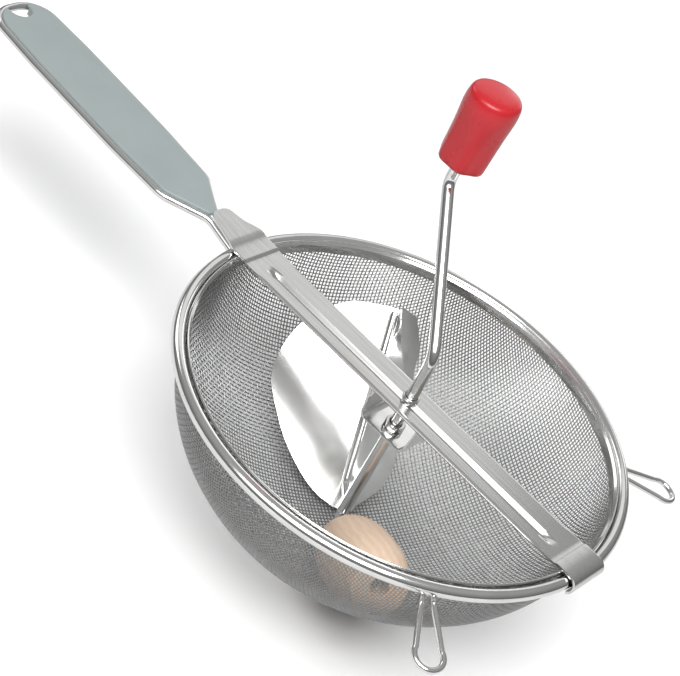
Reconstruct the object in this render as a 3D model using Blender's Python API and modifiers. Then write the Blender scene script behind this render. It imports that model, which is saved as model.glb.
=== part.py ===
"""Rotary mill with a wire-cloth bowl, a crossbar, a bent crank, a folded blade and a wooden roller.

All lengths are in metres. The origin is on the crank's upright axis, in the middle plane of the
rim. +Z is up, the handle points along -X and the crossbar's hook is at +X.
"""

import math

import bmesh
import bpy
from mathutils import Matrix, Vector

# Rim and bowl
RIM_DIAMETER = 0.2400
BEAD_RADIUS = 0.0033
CLOTH_THICKNESS = 0.0008
LIP_THICKNESS = 0.0008
LIP_TOP = 0.0035
LIP_BOTTOM = 0.0038
LIP_FLARE = 0.0011
LIP_FLARE_LOW = 0.0012
LIP_FLARE_HIGH = 0.0021
BOWL_DEPTH = 0.0960
BOWL_CROWN = 0.0089
BOWL_JOIN_ANGLE = 53.4
BOWL_STRAIGHT_BELOW = 0.0030
BOWL_STRAIGHT_ABOVE = 0.0008
SEAT_GAP = 0.0003

# Handle
HANDLE_WIRE_RADIUS = 0.0021
HANDLE_SLOPE = 2.9
HANDLE_ROOT_DROP = 0.0011
HANDLE_LENGTH = 0.1866
NECK_LENGTH = 0.0215
NECK_OVERLAP = 0.0021
NECK_DROP = 0.0043
NECK_HALF_WIDTH = 0.0030
SHOULDER_END = 0.0440
GRIP_HALF_WIDTH = 0.0171
GRIP_WIDE_START = 0.0820
GRIP_WIDE_HALF_WIDTH = 0.0189
GRIP_TAPER_LENGTH = 0.0406
GRIP_SIDE_BEND_RADIUS = 0.1500
GRIP_TIP_HALF_WIDTH = 0.0170
NECK_BEND_RADIUS = 0.0120
SHOULDER_BEND_RADIUS = 0.0140
TIP_BEND_RADIUS = 0.0150
GRIP_THICKNESS = 0.0056
GRIP_EDGE_ROUND = 0.0014
GRIP_START = 0.0300
GRIP_NOSE_REACH = 0.0050
HANG_NOTCH_RADIUS = 0.0062
HANG_NOTCH_SET_BACK = 0.0022
HANG_NOTCH_HALF_ANGLE = 84.0
HANG_NOTCH_CLEAR_SHARE = 1.12

# Rest loops
LOOP_WIRE_RADIUS = 0.0015
LOOP_FRONT_AZIMUTH = -43.0
LOOP_REAR_AZIMUTH = 46.5
LOOP_SEAT_ANGLE = 75.0
LOOP_SLOPE = 10.4
LOOP_LEG_HALF_GAP = 0.0026
LOOP_EYE_RADIUS = 0.0070
LOOP_LENGTH = 0.0370
LOOP_EYE_HALF_ANGLE = 118.0

# Crossbar
BAR_HALF_WIDTH = 0.0127
BAR_THICKNESS = 0.0012
BAR_MID_HEIGHT = 0.0034
BAR_STEP_SET_BACK = 0.0107
BAR_STEP_LENGTH = 0.0026
GROOVE_DEPTH = 0.0022
GROOVE_SET_BACK = 0.0075
GROOVE_RUN_OUT = 0.0070
GROOVE_OFFSET = 0.0026
GROOVE_HALF_WIDTH = 0.0033
GROOVE_FLOOR_HALF_WIDTH = 0.0013
BAR_EDGE_WIDTH = 0.0030
BAR_EDGE_DROP = 0.0006
HOOK_INNER_RADIUS = 0.0038
HOOK_OUTWARD_SHIFT = 0.0003
HOOK_TIP_ANGLE = -62.0
TAB_BEND_HEIGHT = 0.0059
TAB_LENGTH = 0.0192
TAB_SIDE_SHIFT = 0.0022
TAB_TIP_HEIGHT = 0.0079

# Stirrup under the bar
STIRRUP_HALF_LENGTH = 0.0142
STIRRUP_TOP_HALF_LENGTH = 0.0158
STIRRUP_PLATE_HEIGHT = -0.0158
STIRRUP_THICKNESS = 0.0012
STIRRUP_HALF_WIDTH = 0.0106
STIRRUP_BEND_RADIUS = 0.0040

# Crank
ROD_RADIUS = 0.0031
RUNNING_GAP = 0.0003
CRANK_AZIMUTH = -38.5
CRANK_FOOT_AZIMUTH = -44.6
CRANK_REACH = 0.0750
CRANK_ELBOW_DROP = 0.0133
CRANK_BEND_HEIGHT = 0.0317
ELBOW_RADIUS = 0.0080
BEND_RADIUS = 0.0140
FOOT_BEND_RADIUS = 0.0090
COLLAR_RADIUS = 0.0043
COLLAR_HEIGHT = 0.0022
WASHER_RADIUS = 0.0062
BUSH_RADIUS = 0.0052
BUSH_HEIGHT = 0.0030
WASHER_THICKNESS = 0.0012
PIN_RADIUS = 0.0010
PIN_HALF_LENGTH = 0.0068

# Knob
KNOB_BASE_HEIGHT = 0.0935
KNOB_LENGTH = 0.0430
KNOB_RADIUS = 0.0143
KNOB_BORE_DEPTH = 0.0345
KNOB_TOP_GAP = 0.0010
KNOB_SIDES = 6
KNOB_STOP_RADIUS = 0.0052
KNOB_STOP_HEIGHT = 0.0016

# Roller
ROLLER_RADIUS = 0.01967
ROLLER_END_RADIUS = 0.01375
ROLLER_LENGTH = 0.0600
ROLLER_SHIFT = 0.0043
ROLLER_SWELL_HALF_LENGTH = 0.0343
ROLLER_ANGLE = 30.1
ROLLER_WALL_GAP = 0.00075
ROLLER_SWELL_POWER = 2.8
ROLLER_EDGE_ROUND = 0.0010
ROLLER_RECESS_RADIUS = 0.0046
ROLLER_RECESS_DEPTH = 0.0090
CLIP_RADIUS = 0.0042
CLIP_THICKNESS = 0.0008
STOP_RADIUS = 0.0058
STOP_THICKNESS = 0.0012

# Blade
BLADE_AZIMUTH = 120.7
BLADE_SLOPE = 37.0
BLADE_LIFT = 0.0130
BLADE_THICKNESS = 0.0009
BLADE_WALL_GAP = 0.0009
BLADE_HEM_WIDTH = 0.0042
BLADE_LEAF_START = 0.0122
BLADE_LEAF_ANGLE = 42.3
BLADE_TURN = 7.2
BLADE_OFFSET = 0.0076
BLADE_WING_WIDTH = 0.0524
BLADE_FOLD_REACH = 0.0200
BLADE_LEAF_REACH = 0.0264
BLADE_END_TRIM = 0.0028
SPINE_RADIUS = 0.0018
SPINE_BEND_RADIUS = 0.0060
SPINE_CORNER = 0.0300
SPINE_FOOT_RISE = 0.0210

# Counts
BOWL_STEPS = 64
ROUND_STEPS = 32
SMALL_STEPS = 20
WIRE_ROUNDNESS = 3
ARC_STEPS = 6
MERGE_DISTANCE = 0.00001

# Thumb tab: places along its length, its half width there and how far it stands to one side
TAB_REACH_SHARES = (0.0, 0.20, 0.45, 0.70, 0.87, 0.96, 1.0)
TAB_WIDTH_SHARES = (0.97, 0.85, 0.68, 0.59, 0.50, 0.36, 0.16)
TAB_SHIFT_SHARES = (0.0, 0.35, 0.85, 1.0, 1.0, 1.0, 1.0)

# Blade: places along its fold, with the widths of the wing, the facet and the leaf there
BLADE_PLACE_SHARES = (
    0.0, 0.03, 0.07, 0.13, 0.21, 0.28, 0.34, 0.40, 0.47,
    0.54, 0.63, 0.73, 0.81, 0.88, 0.94, 0.97, 0.99, 1.0,
)
BLADE_WING_SHARES = (
    0.03, 0.18, 0.315, 0.46, 0.615, 0.725, 0.80, 0.875, 0.945,
    0.98, 1.0, 0.955, 0.845, 0.735, 0.59, 0.41, 0.17, 0.02,
)
BLADE_FOLD_SHARES = (
    0.40, 0.415, 0.46, 0.54, 0.68, 0.80, 0.88, 0.95, 1.0,
    0.99, 0.92, 0.77, 0.60, 0.43, 0.32, 0.28, 0.26, 0.25,
)
BLADE_LEAF_SHARES = (
    0.33, 0.38, 0.52, 0.73, 0.94, 1.0, 0.99, 0.965, 0.95,
    0.92, 0.89, 0.86, 0.845, 0.85, 0.80, 0.735, 0.67, 0.58,
)

# Knob: rings from its base to its top, with their radii and the depth of the flats
KNOB_HEIGHT_SHARES = (
    0.0, 0.022, 0.10, 0.26, 0.42, 0.56, 0.66, 0.74, 0.82, 0.885, 0.935, 0.97, 0.99, 1.0,
)
KNOB_RADIUS_SHARES = (
    0.80, 0.87, 0.89, 0.915, 0.94, 0.965, 0.99, 1.0, 0.985, 0.93, 0.83, 0.68, 0.42, 0.0,
)
KNOB_FLAT_SHARES = (
    0.075, 0.075, 0.07, 0.06, 0.045, 0.028, 0.014, 0.005, 0.0, 0.0, 0.0, 0.0, 0.0, 0.0,
)

BEAD_CENTRE = RIM_DIAMETER / 2 - BEAD_RADIUS
CLOTH_RIM_RADIUS = BEAD_CENTRE - BEAD_RADIUS - SEAT_GAP
BOWL_LOW_RADIUS = CLOTH_RIM_RADIUS + BOWL_CROWN
GRIP_WIDE_END = HANDLE_LENGTH - GRIP_TAPER_LENGTH
BAR_STEP_START = BEAD_CENTRE - BAR_STEP_SET_BACK
BAR_STEP_END = BAR_STEP_START + BAR_STEP_LENGTH
GROOVE_HALF_LENGTH = BAR_STEP_START - GROOVE_SET_BACK
TAB_BEND_REACH = RIM_DIAMETER / 2
TAB_TIP_REACH = TAB_BEND_REACH + TAB_LENGTH
CRANK_TOP_HEIGHT = KNOB_BASE_HEIGHT + KNOB_BORE_DEPTH - KNOB_TOP_GAP
CRANK_ELBOW_HEIGHT = KNOB_BASE_HEIGHT - CRANK_ELBOW_DROP
BLADE_DEPTH = BOWL_DEPTH - BLADE_LIFT
SPINE_FOOT_HEIGHT = SPINE_FOOT_RISE - BOWL_DEPTH
LOW_CENTRE = BOWL_LOW_RADIUS - BOWL_DEPTH


def collection(name):
    """A collection linked to the scene."""
    group = bpy.data.collections.new(name)
    bpy.context.scene.collection.children.link(group)
    return group


def material(name, colour, roughness, metallic):
    """A plain Principled material."""
    mat = bpy.data.materials.new(name)
    mat.use_nodes = True
    shader = mat.node_tree.nodes["Principled BSDF"]
    shader.inputs["Base Color"].default_value = (*colour, 1.0)
    shader.inputs["Roughness"].default_value = roughness
    shader.inputs["Metallic"].default_value = metallic
    return mat


def add_object(name, mesh, mat, group):
    """An object for a mesh, in its collection, with its material."""
    obj = bpy.data.objects.new(name, mesh)
    group.objects.link(obj)
    if mat is not None:
        mesh.materials.append(mat)
    return obj


def mesh_object(name, verts, faces, mat, group, edges=()):
    """An object from vertices and faces."""
    mesh = bpy.data.meshes.new(name)
    mesh.from_pydata([tuple(v) for v in verts], list(edges), faces)
    mesh.validate()
    return add_object(name, mesh, mat, group)


def shade_round(obj, angle=35.0):
    """Smooth shading with sharp edges kept."""
    mesh = obj.data
    mesh.shade_smooth()
    rounded = bmesh.new()
    rounded.from_mesh(mesh)
    for edge in rounded.edges:
        if len(edge.link_faces) == 2 and edge.calc_face_angle(0.0) > math.radians(angle):
            edge.smooth = False
    rounded.to_mesh(mesh)
    rounded.free()


def turned(name, profile, steps, mat, group, closed=False):
    """A turned piece from a profile of (radius, height) points with a Screw modifier."""
    verts = [(r, 0.0, z) for r, z in profile]
    edges = [(i, i + 1) for i in range(len(profile) - 1)]
    if closed:
        edges.append((len(profile) - 1, 0))
    obj = mesh_object(name, verts, [], mat, group, edges)
    screw = obj.modifiers.new("turn", "SCREW")
    screw.axis = "Z"
    screw.angle = 2 * math.pi
    screw.steps = steps
    screw.render_steps = steps
    screw.use_merge_vertices = True
    screw.merge_threshold = MERGE_DISTANCE
    screw.use_smooth_shade = True
    return obj


def fillet_path(points, radii):
    """A path with its inner corners rounded by arcs of the given radii."""
    path = [Vector(points[0])]
    for before, corner, after, radius in zip(points, points[1:], points[2:], radii):
        corner = Vector(corner)
        back = (Vector(before) - corner).normalized()
        ahead = (Vector(after) - corner).normalized()
        half = back.angle(ahead) / 2
        reach = radius / math.tan(half)
        centre = corner + (back + ahead).normalized() * (radius / math.sin(half))
        start = corner + back * reach - centre
        end = corner + ahead * reach - centre
        turn = start.angle(end)
        steps = max(2, math.ceil(turn / math.radians(90.0) * ARC_STEPS))
        for i in range(steps + 1):
            share = i / steps
            blend = math.sin((1 - share) * turn) * start + math.sin(share * turn) * end
            path.append(centre + blend / math.sin(turn))
    path.append(Vector(points[-1]))
    return path


def wire(name, path, radius, mat, group, cyclic=False):
    """A round wire along a path, as one closed mesh."""
    curve = bpy.data.curves.new(name, "CURVE")
    curve.dimensions = "3D"
    curve.bevel_depth = radius
    curve.bevel_resolution = WIRE_ROUNDNESS
    curve.use_fill_caps = True
    spline = curve.splines.new("POLY")
    spline.points.add(len(path) - 1)
    for point, place in zip(spline.points, path):
        point.co = (*place, 1.0)
    spline.use_cyclic_u = cyclic
    return curve_to_mesh(name, curve, mat, group)


def curve_to_mesh(name, curve, mat, group):
    """Turns a curve into a closed mesh object and removes the curve."""
    guide = bpy.data.objects.new(name + "_curve", curve)
    group.objects.link(guide)
    bpy.context.view_layer.update()
    graph = bpy.context.evaluated_depsgraph_get()
    mesh = bpy.data.meshes.new_from_object(guide.evaluated_get(graph))
    mesh.name = name
    place = guide.matrix_world.copy()
    bpy.data.objects.remove(guide)
    bpy.data.curves.remove(curve)
    welded = bmesh.new()
    welded.from_mesh(mesh)
    bmesh.ops.remove_doubles(welded, verts=welded.verts, dist=MERGE_DISTANCE)
    bmesh.ops.recalc_face_normals(welded, faces=welded.faces)
    welded.to_mesh(mesh)
    welded.free()
    mesh.materials.clear()
    obj = add_object(name, mesh, mat, group)
    obj.matrix_world = place
    shade_round(obj, 50.0)
    return obj


def flat_plate(name, outline, thickness, edge_round, mat, group):
    """A flat plate from a closed outline in the XY plane, with rounded edges."""
    curve = bpy.data.curves.new(name, "CURVE")
    curve.dimensions = "2D"
    curve.fill_mode = "BOTH"
    curve.extrude = thickness / 2 - edge_round
    curve.bevel_depth = edge_round
    curve.bevel_resolution = 1
    curve.offset = -edge_round
    spline = curve.splines.new("POLY")
    spline.points.add(len(outline) - 1)
    for point, place in zip(spline.points, outline):
        point.co = (place[0], place[1], 0.0, 1.0)
    spline.use_cyclic_u = True
    return curve_to_mesh(name, curve, mat, group)


def strip(name, rows, thickness, mat, group):
    """A bent strip of sheet: rows of points across it, given a thickness about their surface."""
    count = len(rows[0])
    verts = [point for row in rows for point in row]
    faces = []
    for i in range(len(rows) - 1):
        for j in range(count - 1):
            a = i * count + j
            faces.append((a, a + 1, a + count + 1, a + count))
    obj = mesh_object(name, verts, faces, mat, group)
    sheet = obj.modifiers.new("sheet", "SOLIDIFY")
    sheet.thickness = thickness
    sheet.offset = 0.0
    sheet.use_even_offset = True
    sheet.thickness_clamp = 0.0
    return obj


def cutter(obj):
    """Marks an object as a cutter."""
    obj.hide_render = True
    obj.display_type = "WIRE"
    return obj


def cylinder_cutter(name, radius, low, high, group, steps=SMALL_STEPS):
    """An upright cylinder for cutting, between two heights."""
    mesh = bpy.data.meshes.new(name)
    body = bmesh.new()
    bmesh.ops.create_cone(
        body, cap_ends=True, segments=steps, radius1=radius, radius2=radius, depth=high - low
    )
    body.to_mesh(mesh)
    body.free()
    obj = add_object(name, mesh, None, group)
    obj.location = (0.0, 0.0, (low + high) / 2)
    return cutter(obj)


def cut(obj, tool, name):
    """Cuts a tool out of an object."""
    boolean = obj.modifiers.new(name, "BOOLEAN")
    boolean.operation = "DIFFERENCE"
    boolean.solver = "EXACT"
    boolean.object = tool
    return boolean


def pivot(name, place, pieces, group):
    """An empty on a joint's axis that carries the pieces which move about it."""
    empty = bpy.data.objects.new(name, None)
    empty.location = place
    group.objects.link(empty)
    bpy.context.view_layer.update()
    for obj in pieces:
        obj.parent = empty
        obj.matrix_parent_inverse = empty.matrix_world.inverted()


def polar(radius, azimuth, height):
    """A point from its distance to the axis, its azimuth in degrees and its height."""
    angle = math.radians(azimuth)
    return Vector((radius * math.cos(angle), radius * math.sin(angle), height))


# The bowl's wall


def bowl_upper_arc():
    """Centre (radius, height) and radius of the upper arc of the wall's outer side."""
    join = math.radians(BOWL_JOIN_ANGLE)
    low_end = Vector((BOWL_LOW_RADIUS * math.sin(join), LOW_CENTRE - BOWL_LOW_RADIUS * math.cos(join)))
    top_end = Vector((CLOTH_RIM_RADIUS, -BOWL_STRAIGHT_BELOW))
    chord = top_end - low_end
    inward = Vector((-math.sin(join), math.cos(join)))
    radius = chord.length_squared / (2 * chord.dot(inward))
    return low_end + inward * radius, radius


UPPER_CENTRE, UPPER_RADIUS = bowl_upper_arc()


def wall_clearance(point):
    """How far a point inside the bowl is from the inner side of its wall."""
    radius = math.hypot(point[0], point[1])
    height = point[2]
    if math.atan2(radius, LOW_CENTRE - height) < math.radians(BOWL_JOIN_ANGLE):
        return BOWL_LOW_RADIUS - CLOTH_THICKNESS - math.hypot(radius, height - LOW_CENTRE)
    reach = math.hypot(radius - UPPER_CENTRE[0], height - UPPER_CENTRE[1])
    return UPPER_RADIUS - CLOTH_THICKNESS - reach


def bowl_profile():
    """Outer side of the cloth from its clamped edge down to the pole."""
    join = math.radians(BOWL_JOIN_ANGLE)
    top = math.atan2(
        CLOTH_RIM_RADIUS - UPPER_CENTRE[0], UPPER_CENTRE[1] + BOWL_STRAIGHT_BELOW
    )
    points = [(CLOTH_RIM_RADIUS, BOWL_STRAIGHT_ABOVE)]
    upper_steps = 7
    for i in range(upper_steps):
        angle = top + (join - top) * i / upper_steps
        reach = UPPER_CENTRE[0] + UPPER_RADIUS * math.sin(angle)
        points.append((reach, UPPER_CENTRE[1] - UPPER_RADIUS * math.cos(angle)))
    lower_steps = 6
    for i in range(lower_steps):
        angle = join * (1 - i / lower_steps)
        points.append((BOWL_LOW_RADIUS * math.sin(angle), LOW_CENTRE - BOWL_LOW_RADIUS * math.cos(angle)))
    points.append((0.0, -BOWL_DEPTH))
    return points


def build_bowl(mat, group):
    """The wire-cloth bowl as a thin turned shell."""
    obj = turned("mesh_bowl", bowl_profile(), BOWL_STEPS, mat, group)
    shell = obj.modifiers.new("cloth", "SOLIDIFY")
    shell.thickness = CLOTH_THICKNESS
    shell.offset = -1.0
    return obj


def build_rim_bead(mat, group):
    """The round rolled bead outside the cloth."""
    count = 12
    section = []
    for i in range(count):
        angle = -2 * math.pi * i / count
        section.append((BEAD_CENTRE + BEAD_RADIUS * math.cos(angle), BEAD_RADIUS * math.sin(angle)))
    return turned("rim_bead", section, BOWL_STEPS, mat, group, closed=True)


def build_rim_lip(mat, group):
    """The inner lip that clamps the cloth against the bead, flared at its top."""
    outer = CLOTH_RIM_RADIUS - CLOTH_THICKNESS - SEAT_GAP
    inner = outer - LIP_THICKNESS
    half = LIP_THICKNESS / 2
    top_outer = outer + LIP_FLARE
    top_inner = inner + LIP_FLARE
    section = [
        (top_outer - half, LIP_TOP),
        (top_outer, LIP_TOP - half),
        (top_outer, LIP_FLARE_HIGH),
        (outer, LIP_FLARE_LOW),
        (outer, -LIP_BOTTOM + half),
        (outer - half, -LIP_BOTTOM),
        (inner, -LIP_BOTTOM + half),
        (inner, LIP_FLARE_LOW + half),
        (top_inner, LIP_FLARE_HIGH + half),
        (top_inner, LIP_TOP - half),
    ]
    return turned("rim_lip", section, BOWL_STEPS, mat, group, closed=True)


# Handle


def handle_place():
    """Turns handle coordinates (distance from the rim, side) into the part's frame."""
    slope = math.radians(HANDLE_SLOPE)
    along = Vector((-math.cos(slope), 0.0, math.sin(slope)))
    side = Vector((0.0, -1.0, 0.0))
    up = along.cross(side)
    turn = Matrix((along, side, up)).transposed().to_4x4()
    root = Vector((-RIM_DIAMETER / 2, 0.0, -HANDLE_ROOT_DROP))
    return Matrix.Translation(root) @ turn


def handle_path():
    """Half of the handle wire's centre line, from under the rim to the middle of the tip."""
    points = [
        (-NECK_OVERLAP, NECK_HALF_WIDTH, -NECK_DROP),
        (NECK_LENGTH, NECK_HALF_WIDTH, 0.0),
        (SHOULDER_END, GRIP_HALF_WIDTH, 0.0),
        (GRIP_WIDE_START, GRIP_WIDE_HALF_WIDTH, 0.0),
        (GRIP_WIDE_END, GRIP_WIDE_HALF_WIDTH, 0.0),
        (HANDLE_LENGTH, GRIP_TIP_HALF_WIDTH, 0.0),
        (HANDLE_LENGTH, 0.0, 0.0),
    ]
    bends = (
        NECK_BEND_RADIUS,
        SHOULDER_BEND_RADIUS,
        GRIP_SIDE_BEND_RADIUS,
        GRIP_SIDE_BEND_RADIUS,
        TIP_BEND_RADIUS,
    )
    return fillet_path(points, bends)


def mirrored(half):
    """A half path and its mirror image across the handle's middle, as one path."""
    other = [Vector((p[0], -p[1], p[2])) for p in reversed(half[:-1])]
    return half[:-1] + other


def build_handle_wire(mat, group):
    """The steel wire that runs from the rim round the grip and back."""
    obj = wire("handle_wire", mirrored(handle_path()), HANDLE_WIRE_RADIUS, mat, group)
    obj.matrix_world = handle_place()
    return obj


def grip_outline():
    """Outline of the grip plate: inside the wire, with a round nose and a notch for the hanging eye."""
    inset = HANDLE_WIRE_RADIUS + SEAT_GAP
    half = handle_path()
    inner = []
    for before, here, after in zip(half, half[1:], half[2:]):
        along = (after - before).normalized()
        point = here + Vector((along[1], -along[0], 0.0)) * inset
        if GRIP_START < point[0]:
            inner.append(point)
    notch_centre = HANDLE_LENGTH - HANG_NOTCH_SET_BACK
    clear = HANG_NOTCH_RADIUS * HANG_NOTCH_CLEAR_SHARE
    side = [p for p in inner if math.hypot(p[0] - notch_centre, p[1]) > clear]
    first = side[0]
    nose = []
    nose_steps = 5
    for i in range(nose_steps):
        angle = math.pi / 2 * i / nose_steps
        nose.append(
            Vector((first[0] - GRIP_NOSE_REACH * math.cos(angle), first[1] * math.sin(angle), 0.0))
        )
    notch = []
    notch_steps = 6
    for i in range(1, notch_steps + 1):
        angle = math.radians(HANG_NOTCH_HALF_ANGLE) * (1 - i / notch_steps)
        notch.append(
            Vector(
                (
                    notch_centre - HANG_NOTCH_RADIUS * math.cos(angle),
                    HANG_NOTCH_RADIUS * math.sin(angle),
                    0.0,
                )
            )
        )
    upper = nose + side + notch
    lower = [Vector((p[0], -p[1], 0.0)) for p in reversed(upper[1:-1])]
    return upper + lower


def build_grip(mat, group):
    """The flat grip plate inside the wire."""
    obj = flat_plate("handle_grip", grip_outline(), GRIP_THICKNESS, GRIP_EDGE_ROUND, mat, group)
    obj.matrix_world = handle_place()
    return obj


# Rest loops


def loop_path():
    """A teardrop loop in its own plane: two legs that open out to a round eye."""
    eye = LOOP_LENGTH - LOOP_EYE_RADIUS
    points = [Vector((0.0, LOOP_LEG_HALF_GAP, 0.0))]
    steps = 14
    widest = math.radians(LOOP_EYE_HALF_ANGLE)
    for i in range(steps + 1):
        angle = widest * (1 - 2 * i / steps)
        points.append(
            Vector((eye + LOOP_EYE_RADIUS * math.cos(angle), LOOP_EYE_RADIUS * math.sin(angle), 0.0))
        )
    points.append(Vector((0.0, -LOOP_LEG_HALF_GAP, 0.0)))
    return points


def build_loop(name, azimuth, mat, group):
    """A rest loop, set under the outer side of the rim and sloping down outwards."""
    obj = wire(name, loop_path(), LOOP_WIRE_RADIUS, mat, group)
    seat = math.radians(LOOP_SEAT_ANGLE)
    slope = math.radians(LOOP_SLOPE)
    radius = BEAD_CENTRE + (BEAD_RADIUS + SEAT_GAP) * math.cos(seat)
    height = -(BEAD_RADIUS + SEAT_GAP) * math.sin(seat)
    start = polar(
        radius - LOOP_WIRE_RADIUS * math.sin(slope), azimuth, height - LOOP_WIRE_RADIUS * math.cos(slope)
    )
    turn = Matrix.Rotation(math.radians(azimuth), 4, "Z") @ Matrix.Rotation(slope, 4, "Y")
    obj.matrix_world = Matrix.Translation(start) @ turn
    return obj


# Crossbar


def groove_share(reach):
    """Share of the pressed depth at a distance along the bar."""
    left = (GROOVE_HALF_LENGTH - abs(reach)) / GROOVE_RUN_OUT
    share = min(1.0, max(0.0, left))
    return math.sin(share * math.pi / 2) ** 2


def bar_row(reach, height, half_width):
    """One row of points across the bar, with the groove and the turned-down edges pressed into it."""
    pressed = groove_share(reach)
    scale = half_width / BAR_HALF_WIDTH
    middle = -GROOVE_OFFSET
    places = (
        (-BAR_HALF_WIDTH, BAR_EDGE_DROP),
        (-BAR_HALF_WIDTH + BAR_EDGE_WIDTH, 0.0),
        (middle - GROOVE_HALF_WIDTH, 0.0),
        (middle - GROOVE_FLOOR_HALF_WIDTH, GROOVE_DEPTH),
        (middle + GROOVE_FLOOR_HALF_WIDTH, GROOVE_DEPTH),
        (middle + GROOVE_HALF_WIDTH, 0.0),
        (BAR_HALF_WIDTH - BAR_EDGE_WIDTH, 0.0),
        (BAR_HALF_WIDTH, BAR_EDGE_DROP),
    )
    return [Vector((reach, side * scale, height - drop * pressed)) for side, drop in places]


def build_crossbar(mat, group, tools):
    """The crossbar: a pressed strip with a thumb tab at the handle and a hook round the far rim."""
    over_rim = HOOK_INNER_RADIUS + BAR_THICKNESS / 2
    rows = []
    for reach, width, shift in zip(TAB_REACH_SHARES, TAB_WIDTH_SHARES, TAB_SHIFT_SHARES):
        x = TAB_BEND_REACH + (TAB_TIP_REACH - TAB_BEND_REACH) * reach
        height = TAB_BEND_HEIGHT + (TAB_TIP_HEIGHT - TAB_BEND_HEIGHT) * reach
        aside = Vector((0.0, -TAB_SIDE_SHIFT * shift, 0.0))
        rows.append([point + aside for point in bar_row(-x, height, BAR_HALF_WIDTH * width)])
    rows.reverse()
    rows.append(bar_row(-(TAB_BEND_REACH + BAR_STEP_END) / 2, over_rim, BAR_HALF_WIDTH))
    rows.append(bar_row(-BAR_STEP_END, over_rim, BAR_HALF_WIDTH))
    rows.append(bar_row(-BAR_STEP_START, BAR_MID_HEIGHT, BAR_HALF_WIDTH))
    run_outs = (0.0, 0.15, 0.4, 0.7, 1.0)
    full = GROOVE_HALF_LENGTH - GROOVE_RUN_OUT
    places = [-GROOVE_HALF_LENGTH + GROOVE_RUN_OUT * share for share in run_outs]
    places += [full * share for share in (-0.5, 0.0, 0.5)]
    places += [GROOVE_HALF_LENGTH - GROOVE_RUN_OUT * share for share in reversed(run_outs)]
    for reach in places:
        rows.append(bar_row(reach, BAR_MID_HEIGHT, BAR_HALF_WIDTH))
    rows.append(bar_row(BAR_STEP_START, BAR_MID_HEIGHT, BAR_HALF_WIDTH))
    rows.append(bar_row(BAR_STEP_END, over_rim, BAR_HALF_WIDTH))
    hook_steps = 9
    for i in range(hook_steps + 1):
        angle = math.radians(90.0 + (HOOK_TIP_ANGLE - 90.0) * i / hook_steps)
        reach = BEAD_CENTRE + HOOK_OUTWARD_SHIFT + over_rim * math.cos(angle)
        rows.append(bar_row(reach, over_rim * math.sin(angle), BAR_HALF_WIDTH))
    obj = strip("crossbar", rows, BAR_THICKNESS, mat, group)
    hole = cylinder_cutter(
        "bar_hole", ROD_RADIUS + RUNNING_GAP, -GROOVE_DEPTH * 2, BAR_MID_HEIGHT * 3, tools
    )
    cut(obj, hole, "shaft_hole")
    return obj


def build_stirrup(mat, group, tools):
    """The lower bearing: a U-shaped bracket hung under the bar, notched round the groove."""
    top = BAR_MID_HEIGHT - BAR_THICKNESS / 2 - SEAT_GAP
    corners = [
        (-STIRRUP_TOP_HALF_LENGTH, 0.0, top),
        (-STIRRUP_HALF_LENGTH, 0.0, STIRRUP_PLATE_HEIGHT),
        (STIRRUP_HALF_LENGTH, 0.0, STIRRUP_PLATE_HEIGHT),
        (STIRRUP_TOP_HALF_LENGTH, 0.0, top),
    ]
    path = fillet_path(corners, (STIRRUP_BEND_RADIUS, STIRRUP_BEND_RADIUS))
    rows = []
    for point in path:
        rows.append(
            [point + Vector((0.0, side * STIRRUP_HALF_WIDTH, 0.0)) for side in (-1.0, 1.0)]
        )
    obj = strip("bearing_stirrup", rows, STIRRUP_THICKNESS, mat, group)
    hole = cylinder_cutter(
        "stirrup_hole",
        ROD_RADIUS + RUNNING_GAP,
        STIRRUP_PLATE_HEIGHT - STIRRUP_THICKNESS * 2,
        STIRRUP_PLATE_HEIGHT + STIRRUP_THICKNESS * 2,
        tools,
    )
    cut(obj, hole, "shaft_hole")
    notch_half = GROOVE_HALF_WIDTH + BAR_THICKNESS + SEAT_GAP
    notch_low = BAR_MID_HEIGHT - GROOVE_DEPTH - BAR_THICKNESS / 2 - SEAT_GAP * 2
    mesh = bpy.data.meshes.new("stirrup_notch")
    box = bmesh.new()
    bmesh.ops.create_cube(box, size=1.0)
    box.to_mesh(mesh)
    box.free()
    notch = add_object("stirrup_notch", mesh, None, tools)
    height = top - notch_low
    notch.location = (0.0, -GROOVE_OFFSET, notch_low + height)
    notch.scale = (STIRRUP_TOP_HALF_LENGTH * 3, notch_half * 2, height * 2)
    cutter(notch)
    cut(obj, notch, "groove_notch")
    return obj


# Crank


def roller_centre():
    """Distance from the axis and height of the roller's middle, tangent to the bowl."""
    reach = BOWL_LOW_RADIUS - CLOTH_THICKNESS - ROLLER_RADIUS - ROLLER_WALL_GAP
    angle = math.radians(ROLLER_ANGLE)
    return reach * math.sin(angle), LOW_CENTRE - reach * math.cos(angle)


def axle_direction():
    """Unit vector along the roller's axle, pointing outwards and up."""
    angle = math.radians(ROLLER_ANGLE)
    return polar(math.cos(angle), CRANK_FOOT_AZIMUTH, math.sin(angle))


def axle_point(distance):
    """A point on the axle line, at a distance from where the roller is widest."""
    radius, height = roller_centre()
    return polar(radius, CRANK_FOOT_AZIMUTH, height) + axle_direction() * distance


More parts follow.
